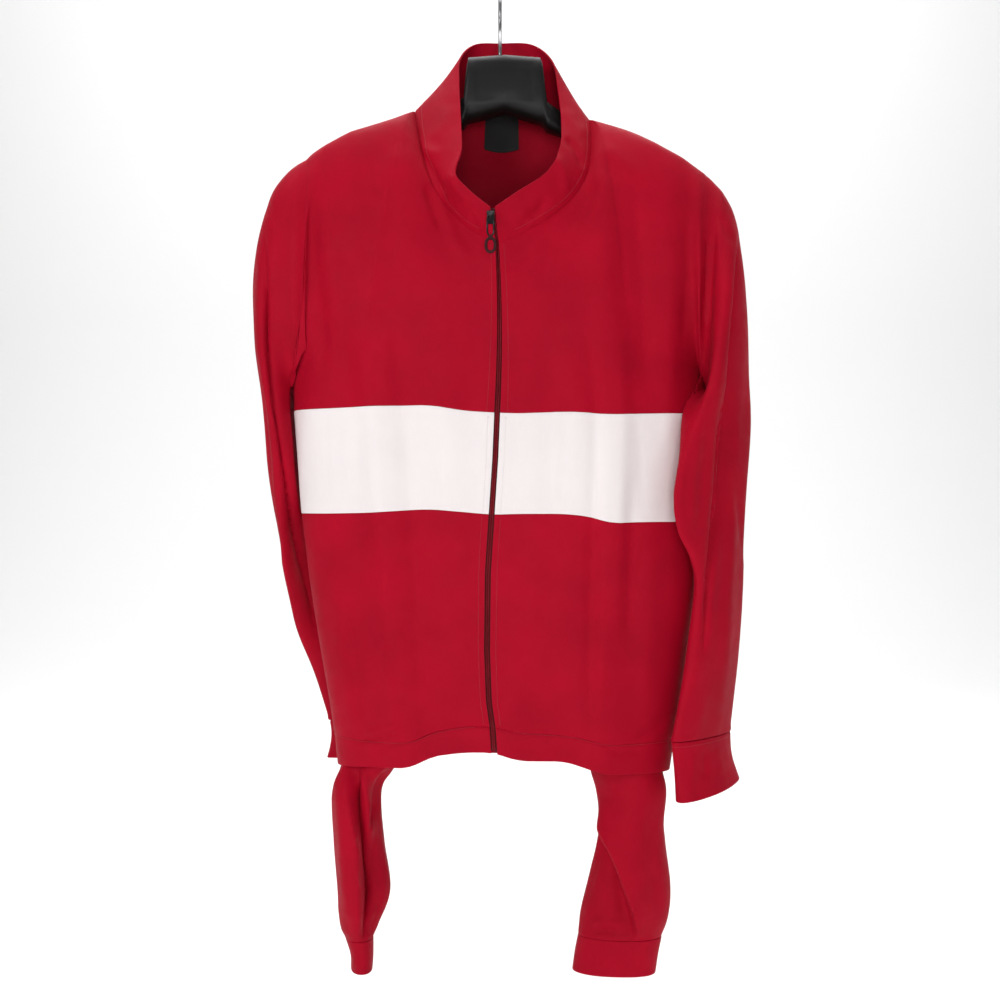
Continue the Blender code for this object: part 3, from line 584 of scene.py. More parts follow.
LEFT_CUFF_CREASES = hidden_folds(Facing.LEFT, (
    (-1.6, 4, 96, -836, 94, -876),
    (1.4, 4, 112, -836, 112, -878),
    (-1.6, 4, 132, -836, 134, -878),
))

LEFT_LEG_CREASES = photo_folds(-40, (
    (11.0, 26.0, 347, 755, 354, 800, 362, 850, 364, 900, 360, 958),
), Profile.STEP) + photo_folds(-40, (
    (-9.0, 4.0, 353, 750, 360, 808, 367, 850, 368, 905, 364, 950),
    (-8.0, 3.2, 386, 770, 380, 800, 372, 832),
), Profile.SHARP) + photo_folds(-40, (
    (-9.0, 10, 370, 836, 374, 870, 371, 920),
    (7.0, 7, 360, 764, 368, 806, 372, 838),
    (2.4, 6, 342, 772, 346, 840, 350, 920),
    (-2.4, 7, 376, 850, 384, 880, 380, 920),
)) + hidden_folds(Facing.LEFT, (
    (3.0, 10, -30, -600, -20, -760, -26, -940),
    (-2.8, 9, 14, -600, 8, -780, 14, -980),
)) + hidden_folds(Facing.BACK, (
    (3.0, 9, -168, -560, -166, -760, -172, -960),
    (-3.0, 9, -140, -560, -146, -760, -150, -980),
)) + hidden_folds(Facing.RIGHT, (
    (-2.6, 9, -20, -700, -30, -860, -16, -1000),
    (2.4, 9, 10, -740, 14, -880, 6, -1010),
))

RIGHT_LEG_CREASES = photo_folds(-40, (
    (-12.0, 24.0, 602, 800, 604, 838, 613, 858, 621, 884, 631, 912, 637, 948),
), Profile.STEP) + photo_folds(-40, (
    (2.6, 11, 630, 790, 628, 850, 640, 910),
    (-2.0, 9, 650, 800, 652, 860, 656, 920),
    (-2.5, 6, 612, 862, 618, 890, 624, 925),
    (2.0, 4, 590, 928, 604, 924, 622, 928),
    (1.6, 4, 598, 946, 610, 944, 626, 950),
)) + photo_folds(-40, (
    (-3.4, 2.6, 594, 938, 606, 934, 618, 937),
), Profile.SHARP) + hidden_folds(Facing.RIGHT, (
    (3.0, 10, -26, -600, -18, -780, -24, -960),
    (-2.6, 9, 12, -600, 8, -780, 12, -980),
)) + hidden_folds(Facing.BACK, (
    (3.0, 12, 130, -560, 134, -760, 126, -980),
    (-3.0, 9, 160, -560, 158, -760, 164, -960),
    (-2.6, 9, 100, -600, 112, -780, 108, -980),
)) + hidden_folds(Facing.LEFT, (
    (2.4, 9, -20, -740, -14, -880, -22, -1010),
    (-2.4, 8, 14, -720, 10, -860, 16, -1000),
))

LEG_CUFF_CREASES = photo_folds(-30, (
    (-1.2, 4, 592, 944, 590, 966),
    (1.2, 5, 608, 946, 608, 968),
    (-1.2, 4, 628, 946, 630, 968),
    (1.0, 4, 645, 944, 647, 962),
    (-1.0, 3, 358, 948, 360, 966),
)) + hidden_folds(Facing.BACK, (
    (-1.4, 5, 110, -1062, 112, -1094),
    (1.4, 5, 144, -1062, 146, -1094),
    (-1.2, 4, -156, -1062, -156, -1092),
))


def swells(points: np.ndarray) -> np.ndarray:
    """The cloth's slight unevenness everywhere: a few long, weak waves that never line up.

    Args:
        points: places in millimetres, one row each.

    Returns:
        Millimetres out for each point.
    """
    waves = (
        ((0.052, 0.013, 0.006), 0.9, 0.50),
        ((-0.031, 0.044, 0.011), 2.3, 0.45),
        ((0.083, -0.052, 0.017), 4.1, 0.28),
        ((0.024, 0.071, -0.029), 5.2, 0.24),
        ((0.120, 0.034, -0.046), 1.4, 0.14),
        ((-0.067, 0.140, 0.060), 3.0, 0.11),
    )
    lift = np.zeros(len(points))
    for direction, start, height in waves:
        lift += height * np.sin(points @ np.array(direction) + start)
    return lift


def bell(at: float, middle: float, reach: float) -> float:
    """1 at the middle, falling away evenly on both sides."""
    return math.exp(-(((at - middle) / reach) ** 2))


def blend(a: float, b: float, share: float) -> float:
    """The value that is a share of the way from a to b."""
    return a + (b - a) * share


def smooth_step(share: float) -> float:
    """From 0 to 1 with level ends."""
    share = min(max(share, 0.0), 1.0)
    return share * share * (3 - 2 * share)


def smooth_row(rows: Sequence[Row], at: float) -> list[float]:
    """The row at a fractional place in a table, on a smooth curve through its rows.

    Args:
        rows: the table.
        at: the place, 0 at the first row.

    Returns:
        One value for each column.
    """
    last = len(rows) - 1
    low = min(int(at), last - 1)
    share = at - low
    before, after = max(low - 1, 0), min(low + 2, last)
    out = []
    for p0, p1, p2, p3 in zip(rows[before], rows[low], rows[low + 1], rows[after]):
        slope1 = (p2 - p0) / 2 if before < low else p2 - p1
        slope2 = (p3 - p1) / 2 if after > low + 1 else p2 - p1
        square, cube = share * share, share ** 3
        out.append(
            (2 * cube - 3 * square + 1) * p1
            + (cube - 2 * square + share) * slope1
            + (3 * square - 2 * cube) * p2
            + (cube - square) * slope2
        )
    return out


def look_up(rows: Sequence[Row], key: float) -> list[float]:
    """The row of a table for a key in its first column, between its rows.

    Args:
        rows: the table, rising or falling in its first column.
        key: the value to look for.

    Returns:
        One value for each column.
    """
    ordered = rows if rows[-1][0] > rows[0][0] else rows[::-1]
    key = min(max(key, ordered[0][0]), ordered[-1][0])
    for low, high in zip(ordered, ordered[1:]):
        if key <= high[0]:
            share = (key - low[0]) / (high[0] - low[0])
            return [blend(a, b, share) for a, b in zip(low, high)]
    return list(ordered[-1])


def oval(angle: float, roundness: float) -> tuple[float, float]:
    """A point of a rounded rectangle of half sizes 1.

    Args:
        angle: radians from the along axis.
        roundness: 2 for a circle, more for squarer corners.

    Returns:
        The point's places across and along.
    """
    power = 2 / roundness
    across, along = math.sin(angle), math.cos(angle)
    return math.copysign(abs(across) ** power, across), math.copysign(abs(along) ** power, along)


def fold_lift(across: float, height: float) -> float:
    """How far the front stands out at its two long folds, in millimetres."""
    folds = look_up(FRONT_FOLDS, height)
    lift = 0.0
    for place in folds[1:]:
        lift += FOLD_DEPTH * bell(across, place, FOLD_WIDTH)
    return lift


def seam_height(line: Line, across: float) -> float:
    """The height of a seam line at a place across the front, with its bends rounded."""
    places = (across + step * SEAM_ROUNDING for step in (-1, 0, 1))
    return sum(look_up(SEAM_LINES, place)[line.column] for place in places) / 3


def front_point(side: Side, share: float, low: Line, high: Line, rise: float) -> Vector:
    """A point of the front between two seam lines.

    Args:
        side: the front's side.
        share: 0 at the zip, 1 at the side seam.
        low: the lower seam line.
        high: the upper seam line.
        rise: 0 at the lower line, 1 at the upper one.

    Returns:
        The point, in millimetres.
    """
    height = blend(low.level, high.level, rise)
    _, left, zipper, right, depth, _ = look_up(GIRTH, height)
    edge = zipper + side.sign * ZIP_OPENING / 2
    seam = left if side is Side.LEFT else right
    across, along = oval(share * math.pi / 2, BODY_ROUNDNESS)
    x = edge + (seam - edge) * across
    z = blend(seam_height(low, x), seam_height(high, x), rise)
    y = -depth * along - fold_lift(x, z) * min(1, along * FOLD_FADE)
    return Vector((x, y, z))


def back_point(share: float, low: Line, high: Line, rise: float) -> Vector:
    """A point of the back below the armholes.

    Args:
        share: 0 at the left side seam, 1 at the right one.
        low: the lower seam line.
        high: the upper seam line.
        rise: 0 at the lower line, 1 at the upper one.

    Returns:
        The point, in millimetres.
    """
    height = blend(low.level, high.level, rise)
    _, left, _, right, _, depth = look_up(GIRTH, height)
    across, along = oval((share - 0.5) * math.pi, BODY_ROUNDNESS)
    first, last = SEAM_LINES[0], SEAM_LINES[-1]
    foot = blend(first[low.column], last[low.column], share)
    top = blend(first[high.column], last[high.column], share)
    x = (left + right) / 2 + (right - left) / 2 * across
    return Vector((x, depth * along, blend(foot, top, rise)))


def armhole_point(side: Side, angle: float) -> Vector:
    """A point of the armhole: 0 at the shoulder, 90 degrees at the front, 180 under the arm."""
    top, under, front, back = (Vector(v) for v in ARMHOLES[side.value])
    reach = front if math.sin(angle) >= 0 else -back
    return (top + under) / 2 + (top - under) / 2 * math.cos(angle) + reach * math.sin(angle)


def armhole_angle(rise: float) -> float:
    """The place round the armhole that a panel's edge has reached: pi under the arm, 0 at the shoulder."""
    return math.pi * (1 - max(rise - SIDE_SEAM_SHARE, 0) / (1 - SIDE_SEAM_SHARE))


def side_edge(side: Side, rise: float, foot: Vector, front: bool) -> Vector:
    """The side seam up to the armpit, then the armhole up to the shoulder.

    Args:
        side: the side of the jacket.
        rise: 0 at the foot, 1 at the shoulder.
        foot: the seam's lowest point.
        front: whether the edge runs up the front of the armhole.

    Returns:
        The point, in millimetres.
    """
    if rise < SIDE_SEAM_SHARE:
        return foot.lerp(Vector(ARMHOLES[side.value][1]), rise / SIDE_SEAM_SHARE)
    angle = armhole_angle(rise)
    return armhole_point(side, angle if front else -angle)


def armhole_fill(angle: float, away: float) -> float:
    """How far the cloth comes forward, in millimetres, at a distance from the armhole's seam."""
    return ARMHOLE_FILL * math.sin(angle) * bell(away, 0, ARMHOLE_FILL_REACH)


def under_outline(point: Vector) -> Vector:
    """The point, let down softly where it would stand above the shoulders' outline in the photograph."""
    scale = (CAMERA_DISTANCE - abs(point.y)) / FOCAL_PIXELS
    _, limit = look_up(SHOULDER_OUTLINE, PHOTO_MIDDLE + point.x / scale)
    above = limit - (PHOTO_MIDDLE - (point.z - CAMERA_LEVEL) / scale)
    drop = math.log1p(math.exp(min(above, OUTLINE_LIMIT) / OUTLINE_SOFTNESS)) * OUTLINE_SOFTNESS * scale
    return Vector((point.x, point.y, point.z - drop)) if above > -OUTLINE_REACH else point


def neck_point(at: float) -> Vector:
    """A point of the collar's seam, by its place in the collar's table."""
    return Vector(smooth_row([row[:3] for row in COLLAR], at))


def shoulder_point(side: Side, share: float) -> Vector:
    """A point of the shoulder's top: 0 at the neck, 1 at the armhole."""
    index = LEFT_NECK_POINT if side is Side.LEFT else RIGHT_NECK_POINT
    rows = [COLLAR[index][:3], SHOULDER_MIDDLES[side.value], ARMHOLES[side.value][0]]
    return Vector(smooth_row(rows, share * 2))


def front_top(side: Side, share: float) -> Vector:
    """The chest's upper edge: the neck from the zip to the shoulder, then the shoulder."""
    turn = NECK_COLUMNS / FRONT_COLUMNS
    if share > turn:
        return shoulder_point(side, (share - turn) / (1 - turn))
    if side is Side.LEFT:
        return neck_point(LEFT_NECK_POINT * share / turn)
    last = len(COLLAR) - 1
    return neck_point(last - (last - RIGHT_NECK_POINT) * share / turn)


def back_top(share: float) -> Vector:
    """The back's upper edge: left shoulder, neck, right shoulder."""
    turn = BACK_SHOULDER_COLUMNS / BACK_COLUMNS
    if share < turn:
        return shoulder_point(Side.LEFT, 1 - share / turn)
    if share > 1 - turn:
        return shoulder_point(Side.RIGHT, (share - 1 + turn) / turn)
    between = (share - turn) / (1 - 2 * turn)
    return neck_point(blend(LEFT_NECK_POINT, RIGHT_NECK_POINT, between))


def rise_between(foot: Vector, top: Vector, rise: float, rounding: float) -> Vector:
    """Straight across, late in depth, and early in height where the shoulder rounds over."""
    late = rise ** DEPTH_LATENESS
    early = 1 - (1 - rise) ** (1 + SHOULDER_EARLINESS * rounding)
    return Vector((blend(foot.x, top.x, rise), blend(foot.y, top.y, late), blend(foot.z, top.z, early)))


def shoulder_rounding(share: float, turn: float) -> float:
    """0 at the middle of the garment and at the armhole, 1 where the neck meets the shoulder."""
    if share < turn:
        return smooth_step(share / turn)
    return 1 - ((share - turn) / (1 - turn)) ** 3


def chest_point(side: Side, share: float, rise: float) -> Vector:
    """The chest from the white band to the neck and shoulder, filled in between its four edges.

    Args:
        side: the front's side.
        share: 0 at the zip, 1 at the side seam and the armhole.
        rise: 0 at the white band, 1 at the neck and shoulder.

    Returns:
        The point, in millimetres.
    """
    band = Line.BAND_TOP
    foot, first, last = (front_point(side, at, band, band, 0) for at in (share, 0, 1))
    rounding = shoulder_rounding(share, NECK_COLUMNS / FRONT_COLUMNS)
    point = rise_between(foot, front_top(side, share), rise, rounding)
    zipper = first.lerp(front_top(side, 0), rise)
    zipper.x += ZIP_BOW * math.sin(math.pi * rise)
    outer = side_edge(side, rise, last, True)
    point += (zipper - rise_between(first, front_top(side, 0), rise, 0)) * (1 - share)
    point += (outer - rise_between(last, front_top(side, 1), rise, 0)) * share ** CHEST_EDGE_POWER
    point.y -= CHEST_FULLNESS * math.sin(math.pi * rise) ** 2 * math.sin(math.pi * share)
    return point


def yoke_point(share: float, rise: float) -> Vector:
    """The back above the armpits, filled in between its four edges.

    Args:
        share: 0 at the left armhole, 1 at the right one.
        rise: 0 level with the white band's top, 1 at the neck and shoulders.

    Returns:
        The point, in millimetres.
    """
    band = Line.BAND_TOP
    foot = back_point(share, band, band, 0)
    rounding = shoulder_rounding(abs(2 * share - 1), BACK_NECK_COLUMNS / BACK_COLUMNS)
    point = rise_between(foot, back_top(share), rise, rounding)
    for side, place, weight in ((Side.LEFT, 0, 1 - share), (Side.RIGHT, 1, share)):
        corner = back_point(place, band, band, 0)
        edge = side_edge(side, rise, corner, False)
        point += (edge - rise_between(corner, back_top(place), rise, 0)) * weight ** BACK_EDGE_POWER
    point.y += CHEST_FULLNESS * math.sin(math.pi * rise) ** 2 * math.sin(math.pi * share)
    return point


def collar_point(at: float, rise: float) -> Vector:
    """A point of the collar: its place round the neck, and 0 at the seam to 1 at its edge."""
    row = smooth_row(COLLAR, at)
    seam, edge = Vector(row[:3]), Vector(row[3:])
    outward = Vector((seam.x - NECK_AXIS[0], seam.y - NECK_AXIS[1], 0)).normalized()
    fullness = COLLAR_FULLNESS * math.sin(math.pi * min(max(rise, 0), 1))
    return seam.lerp(edge, rise) + outward * fullness


def sleeve_ring(side: Side, row: Row, angle: float) -> Vector:
    """A point of a sleeve's section: 0 at its outer edge, 90 degrees at its front."""
    outer, inner = Vector(row[:3]), Vector(row[3:6])
    depth, turn = row[6], math.radians(row[7])
    forward = Vector((side.sign * math.sin(turn), -math.cos(turn), 0))
    middle = (outer + inner) / 2
    return middle + (outer - inner) / 2 * math.cos(angle) + forward * depth * math.sin(angle)


def clear_of_body(point: Vector) -> Vector:
    """The point, pushed out to the jacket's side where the sleeve's section would reach into it."""
    _, left, zipper, right, front, back = look_up(GIRTH, point.z)
    near = min(max((ARMPIT - point.z) / CLEARANCE_RISE, 0), 1)
    clearance = blend(SEAM_GAP, SLEEVE_CLEARANCE, near)
    width = (zipper - left if point.x < zipper else right - zipper) + clearance
    depth = (front + FOLD_DEPTH * near if point.y < 0 else back) + clearance
    across, along = (point.x - zipper) / width, point.y / depth
    inside = abs(across) ** BODY_ROUNDNESS + abs(along) ** BODY_ROUNDNESS
    if point.z > ARMPIT + UNDERARM_HEIGHT or inside >= 1:
        return point
    grow = inside ** (-1 / BODY_ROUNDNESS)
    return Vector((zipper + (point.x - zipper) * grow, point.y * grow, point.z))


def sleeve_point(side: Side, angle: float, rise: float) -> Vector:
    """A point of the sleeve: its angle round the arm, and 0 at the armhole to 1 at the cuff."""
    rows = SLEEVES[side.value]
    at = rise * len(rows)
    head = armhole_point(side, angle)
    if at >= 1:
        return clear_of_body(sleeve_ring(side, smooth_row(rows, at - 1), angle))
    return head.lerp(clear_of_body(sleeve_ring(side, rows[0], angle)), at)


def leg_ring(row: Row, angle: float) -> Vector:
    """A point of a leg's section: 0 at its front, 90 degrees at its right."""
    x, y, z, width, depth, turn = row
    across, along = oval(angle, LEG_ROUNDNESS)
    offset = Matrix.Rotation(math.radians(turn), 3, "Z") @ Vector((width * across, -depth * along, 0))
    return Vector((x, y, z)) + offset


def zip_edge(side: Side, rise: float, beside: float = 0.0) -> Vector:
    """A point of the zip's edge from the hem to the collar's edge, or a little beside it.

    Args:
        side: the edge's side.
        rise: 0 at the hem's edge, 1 at the collar's edge.
        beside: millimetres from the edge, along the cloth.

    Returns:
        The point, in millimetres.
    """
    seams = (Line.HEM_EDGE, Line.HEM_SEAM, Line.BAND_FOOT, Line.BAND_TOP)
    for low, high, start, end in zip(seams, seams[1:], (0.0, *ZIP_STOPS), ZIP_STOPS):
        if rise < end:
            share = math.asin((beside / LOWER_WIDTH) ** (BODY_ROUNDNESS / 2)) / (math.pi / 2)
            return front_point(side, share, low, high, (rise - start) / (end - start))
    if rise < COLLAR_SHARE:
        start = ZIP_STOPS[-1]
        return chest_point(side, beside / CHEST_WIDTH, (rise - start) / (COLLAR_SHARE - start))
    left, right = COLLAR_WIDTHS
    at = beside / left if side is Side.LEFT else len(COLLAR) - 1 - beside / right
    return collar_point(at, (rise - COLLAR_SHARE) / (1 - COLLAR_SHARE))


class NodeTree:
    """A material's nodes, with short calls for what the finishes need."""

    def __init__(self, name: str) -> None:
        """Starts a material of that name with its Principled shader."""
        self.material = bpy.data.materials.new(name)
        self.material.use_nodes = True
        self.nodes = self.material.node_tree.nodes
        self.links = self.material.node_tree.links
        self.shader = self.nodes["Principled BSDF"]

    def add(self, kind: str, inputs: dict[str, object] | None = None, **settings: object) -> bpy.types.Node:
        """Adds a node.

        Args:
            kind: the node's Blender type, without its ShaderNode prefix.
            inputs: values or links for its sockets, by name.
            settings: the node's own properties.

        Returns:
            The new node.
        """
        node = self.nodes.new("ShaderNode" + kind)
        for key, value in settings.items():
            setattr(node, key, value)
        for key, value in (inputs or {}).items():
            self.set(node, key, value)
        return node

    def set(self, node: bpy.types.Node, key: str | int, value: object) -> None:
        """Sets one socket to a value, or links it to another node's output."""
        if isinstance(value, Socket):
            self.links.new(value, node.inputs[key])
        else:
            node.inputs[key].default_value = value

    def dress(self, **values: object) -> None:
        """Sets the Principled shader's sockets, named with underscores for spaces."""
        for key, value in values.items():
            self.set(self.shader, key.replace("_", " "), value)

    def coordinates(self, space: str, scale: Triple = (1, 1, 1)) -> Socket:
        """The piece's "UV" or "Object" coordinates, scaled on each axis."""
        source = self.add("TexCoord").outputs[space]
        return self.add("Mapping", {"Vector": source, "Scale": scale}).outputs["Vector"]

    def noise(self, vector: Socket, scale: float, detail: float = 2.0) -> Socket:
        """A noise from 0 to 1 at a scale, on the given coordinates."""
        inputs = {"Vector": vector, "Scale": scale, "Detail": detail}
        return self.add("TexNoise", inputs).outputs["Fac"]

    def waves(self, vector: Socket, axis: str, pitch: float) -> Socket:
        """Even ribs from 0 to 1, a given pitch apart in the coordinates' units."""
        scale = 2 * math.pi / 20 / pitch
        inputs = {"Vector": vector, "Scale": scale, "Distortion": 0.0}
        return self.add("TexWave", inputs, bands_direction=axis, wave_profile="SIN").outputs["Fac"]

    def spread(self, value: Socket, low: float, high: float, start: float = 0.3,
               end: float = 0.7) -> Socket:
        """A value from start to end, spread from low to high."""
        inputs = {"Value": value, "From Min": start, "From Max": end, "To Min": low, "To Max": high}
        return self.add("MapRange", inputs).outputs["Result"]

    def mix(self, share: object, first: object, second: object, kind: str = "MIX") -> Socket:
        """A mix of two colours.

        Args:
            share: how much of the second, as a number or a socket.
            first: the first colour or socket.
            second: the second colour or socket.
            kind: the way they mix.

        Returns:
            The mixed colour.
        """
        node = self.nodes.new("ShaderNodeMix")
        node.data_type = "RGBA"
        node.blend_type = kind
        for index, value in ((0, share), (6, first), (7, second)):
            self.set(node, index, value)
        return node.outputs[2]

    def bump(self, height: Socket, depth: float, strength: float = 1.0,
             before: Socket | None = None) -> Socket:
        """A bump of a depth in metres, on top of an earlier one."""
        inputs = {"Height": height, "Distance": depth, "Strength": strength}
        if before is not None:
            inputs["Normal"] = before
        return self.add("Bump", inputs).outputs["Normal"]


@dataclass(frozen=True)
class Coloured:
    """What all finishes share.

    Args:
        name: the material's name.
        colour: its linear colour.
    """

    name: str
    colour: Triple

    def tone(self, by: float = 1.0) -> tuple[float, float, float, float]:
        """The colour made darker or lighter, with full cover."""
        return (*(min(channel * by, 1.0) for channel in self.colour), 1.0)


@dataclass(frozen=True)
class SatinCloth(Coloured):
    """Smooth warp-knitted polyester: fine ribs, a soft sheen and slightly uneven colour.

    Args:
        unevenness: how far its colour wanders, as a share.
        rib: the pitch of its ribs, in metres.
        gloss: how bright its highlights are.
        sheen: the strength of its sheen.
        sheen_colour: the colour of its sheen.
    """

    unevenness: float = 0.10
    rib: float = 0.0007
    gloss: float = 0.06
    sheen: float = 0.06
    sheen_colour: Triple = (1.0, 0.16, 0.22)

    def build(self) -> bpy.types.Material:
        """Makes the material.

        Returns:
            The material, on the piece's own UV map and object coordinates.
        """
        tree = NodeTree(self.name)
        cloth = tree.coordinates("UV")
        place = tree.coordinates("Object")
        ribs = tree.waves(cloth, "X", self.rib)
        rows = tree.waves(cloth, "Y", self.rib * 1.4)
        patches = tree.spread(tree.noise(place, 16), 0, 1)
        clouds = tree.spread(tree.noise(place, 70, 3), 0, 1)
        slubs = tree.noise(tree.coordinates("UV", (900, 60, 1)), 1, 1)
        dark, light = self.tone(1 - self.unevenness), self.tone(1 + self.unevenness)
        colour = tree.mix(patches, dark, light)
        colour = tree.mix(tree.spread(clouds, 0, 0.35), colour, self.tone())
        colour = tree.mix(tree.spread(ribs, 0.16, 0.0, 0, 1), colour, self.tone(0.55))
        colour = tree.mix(tree.spread(slubs, 0, 0.14, 0.55, 0.8), colour, self.tone(1.3))
        weave = tree.bump(ribs, 0.00012, 0.5)
        weave = tree.bump(rows, 0.00008, 0.4, weave)
        drape = tree.bump(tree.noise(place, 45, 3), 0.0011, 0.45, weave)
        tree.dress(
            Base_Color=colour,
            Roughness=tree.spread(clouds, 0.52, 0.64, 0, 1),
            Normal=drape,
            Specular_IOR_Level=self.gloss,
            Sheen_Weight=self.sheen,
            Sheen_Roughness=0.42,
            Sheen_Tint=(*self.sheen_colour, 1),
        )
        return tree.material


@dataclass(frozen=True)
class WovenTape(Coloured):
    """A narrow woven tape or label, with a herringbone or a plain satin face.

    Args:
        pitch: the pitch of its weave, in metres.
        gloss: how bright its highlights are.
    """

    pitch: float = 0.0009
    gloss: float = 0.25

    def build(self) -> bpy.types.Material:
        """Makes the material on the piece's UV map."""
        tree = NodeTree(self.name)
        cloth = tree.coordinates("UV")
        twill = tree.waves(cloth, "DIAGONAL", self.pitch)
        warp = tree.waves(cloth, "X", self.pitch * 0.6)
        grime = tree.spread(tree.noise(tree.coordinates("Object"), 120, 3), 0, 0.4)
        colour = tree.mix(tree.spread(twill, 0, 0.35, 0, 1), self.tone(1.25), self.tone(0.5))
        colour = tree.mix(grime, colour, self.tone(0.7))
        face = tree.bump(warp, 0.0001, 0.4, tree.bump(twill, 0.0002, 0.7))
        tree.dress(
            Base_Color=colour,
            Roughness=0.62,
            Normal=face,
            Specular_IOR_Level=self.gloss,
            Sheen_Weight=0.2,
            Sheen_Roughness=0.5,
        )
        return tree.material


@dataclass(frozen=True)
class Thread(Coloured):
    """Twisted sewing thread."""

    def build(self) -> bpy.types.Material:
        """Makes the material on object coordinates."""
        tree = NodeTree(self.name)
        place = tree.coordinates("Object")
        twist = tree.waves(place, "DIAGONAL", 0.0006)
        fibres = tree.spread(tree.noise(place, 900, 2), 0, 0.5)
        colour = tree.mix(tree.spread(twist, 0, 0.3, 0, 1), self.tone(1.1), self.tone(0.5))
        colour = tree.mix(fibres, colour, self.tone(0.8))
        tree.dress(
            Base_Color=colour,
            Roughness=0.55,
            Normal=tree.bump(twist, 0.0001, 0.6),
            Sheen_Weight=0.3,
            Sheen_Roughness=0.4,
        )
        return tree.material


@dataclass(frozen=True)
class MouldedPlastic(Coloured):
    """Injection-moulded plastic with a fine grain, flow marks and faint scratches.

    Args:
        roughness: the roughness of clean skin.
        grain: the depth of its grain, in metres.
    """

    roughness: float = 0.34
    grain: float = 0.00006

    def build(self) -> bpy.types.Material:
        """Makes the material on object coordinates."""
        tree = NodeTree(self.name)
        place = tree.coordinates("Object")
        flow = tree.noise(tree.coordinates("Object", (6, 30, 30)), 1, 3)
        scratch = tree.noise(tree.coordinates("Object", (60, 900, 700)), 1, 1)
        dust = tree.spread(tree.noise(place, 38, 4), 0, 0.35, 0.45, 0.75)
        grain = tree.noise(place, 1400, 2)
        colour = tree.mix(tree.spread(flow, 0, 1), self.tone(0.85), self.tone(1.3))
        colour = tree.mix(dust, colour, self.tone(2.0))
        marks = tree.spread(scratch, self.roughness, self.roughness + 0.22, 0.6, 0.8)
        tree.dress(
            Base_Color=colour,
            Roughness=marks,
            Normal=tree.bump(grain, self.grain, 0.5, tree.bump(flow, 0.0004, 0.25)),
            Specular_IOR_Level=0.26,
        )
        return tree.material


@dataclass(frozen=True)
class PlatedMetal(Coloured):
    """Plated or painted metal, brightest where it has rubbed.

    Args:
        worn: the colour where it has rubbed.
        roughness: its roughness.
    """

    worn: Triple
    roughness: float = 0.25

    def build(self) -> bpy.types.Material:
        """Makes the material on object coordinates."""
        tree = NodeTree(self.name)
        place = tree.coordinates("Object")
        rub = tree.spread(tree.noise(place, 160, 4), 0, 0.8, 0.5, 0.72)
        fine = tree.noise(tree.coordinates("Object", (900, 900, 120)), 1, 2)
        colour = tree.mix(rub, self.tone(), (*self.worn, 1.0))
        tree.dress(
            Base_Color=colour,
            Metallic=1.0,
            Roughness=tree.spread(fine, self.roughness, self.roughness + 0.16),
            Normal=tree.bump(fine, 0.00003, 0.5),
        )
        return tree.material


@dataclass(frozen=True)
class PaintedBoard(Coloured):
    """The plain matt backdrop and floor."""

    def build(self) -> bpy.types.Material:
        """Makes the material."""
        tree = NodeTree(self.name)
        tree.dress(Base_Color=self.tone(), Roughness=0.95, Specular_IOR_Level=0.1)
        return tree.material


class Finish(Enum):
    """Every finish of the suit and of the studio."""

    RED = SatinCloth("red satin cloth", (0.392, 0.0018, 0.0170))
    WHITE = SatinCloth("white satin cloth", (0.87, 0.80, 0.80), 0.02, 0.0007, 0.2, 0.1, (1.0, 0.95, 0.95))
    TAPE = WovenTape("dark red zip tape", (0.070, 0.002, 0.005))
    TEETH = MouldedPlastic("dark red zip coil", (0.21, 0.004, 0.012), 0.45)
    LABEL = WovenTape("black woven label", (0.010, 0.009, 0.009), 0.0006, 0.35)
    LABEL_EDGE = Thread("grey label edge", (0.10, 0.09, 0.08))
    RED_THREAD = Thread("red thread", (0.36, 0.010, 0.024))
    WHITE_THREAD = Thread("white thread", (0.74, 0.66, 0.66))
    HANGER = MouldedPlastic("black hanger plastic", (0.006, 0.005, 0.005), 0.45)
    PULL = MouldedPlastic("dark red pull plastic", (0.034, 0.003, 0.005), 0.7)
    SLIDER = PlatedMetal("black plated metal", (0.022, 0.021, 0.022), (0.10, 0.09, 0.09), 0.34)
    HOOK = PlatedMetal("bright plated wire", (0.30, 0.30, 0.31), (0.22, 0.21, 0.20), 0.26)
    BACKDROP = PaintedBoard("pale backdrop", (0.92, 0.92, 0.92))

    def material(self) -> bpy.types.Material:
        """The finish's one material, made when it is first asked for."""
        made = bpy.data.materials.get(self.value.name)
        return made if made else self.value.build()


def clear_selection() -> None:
    """Deselects everything, because an operator acts on all that is selected."""
    if bpy.context.object and bpy.context.object.mode != "OBJECT":
        bpy.ops.object.mode_set(mode="OBJECT")
    bpy.ops.object.select_all(action="DESELECT")


def take(piece: Piece) -> None:
    """Makes a piece the only selected and active one."""
    clear_selection()
    piece.select_set(True)
    bpy.context.view_layer.objects.active = piece


@contextmanager
def editing() -> Iterator[None]:
    """Edits the active piece's mesh, all of it selected, and goes back to object mode."""
    bpy.ops.object.mode_set(mode="EDIT")
    bpy.ops.mesh.select_all(action="SELECT")
    yield
    bpy.ops.object.mode_set(mode="OBJECT")


def apply_modifier(piece: Piece, kind: str, **settings: object) -> None:
    """Adds a modifier with its settings and applies it.

    Args:
        piece: the piece.
        kind: the modifier's Blender type.
        settings: the modifier's own properties.
    """
    take(piece)
    modifier = piece.modifiers.new(kind.lower(), kind)
    for key, value in settings.items():
        setattr(modifier, key, value)
    bpy.ops.object.modifier_apply(modifier=modifier.name)


def bevel(piece: Piece, width: float, segments: int, angle: float) -> None:
    """Rounds the edges that are sharper than an angle in degrees, by a width in millimetres."""
    apply_modifier(piece, "BEVEL", width=width * MM, segments=segments, limit_method="ANGLE",
                   angle_limit=math.radians(angle))


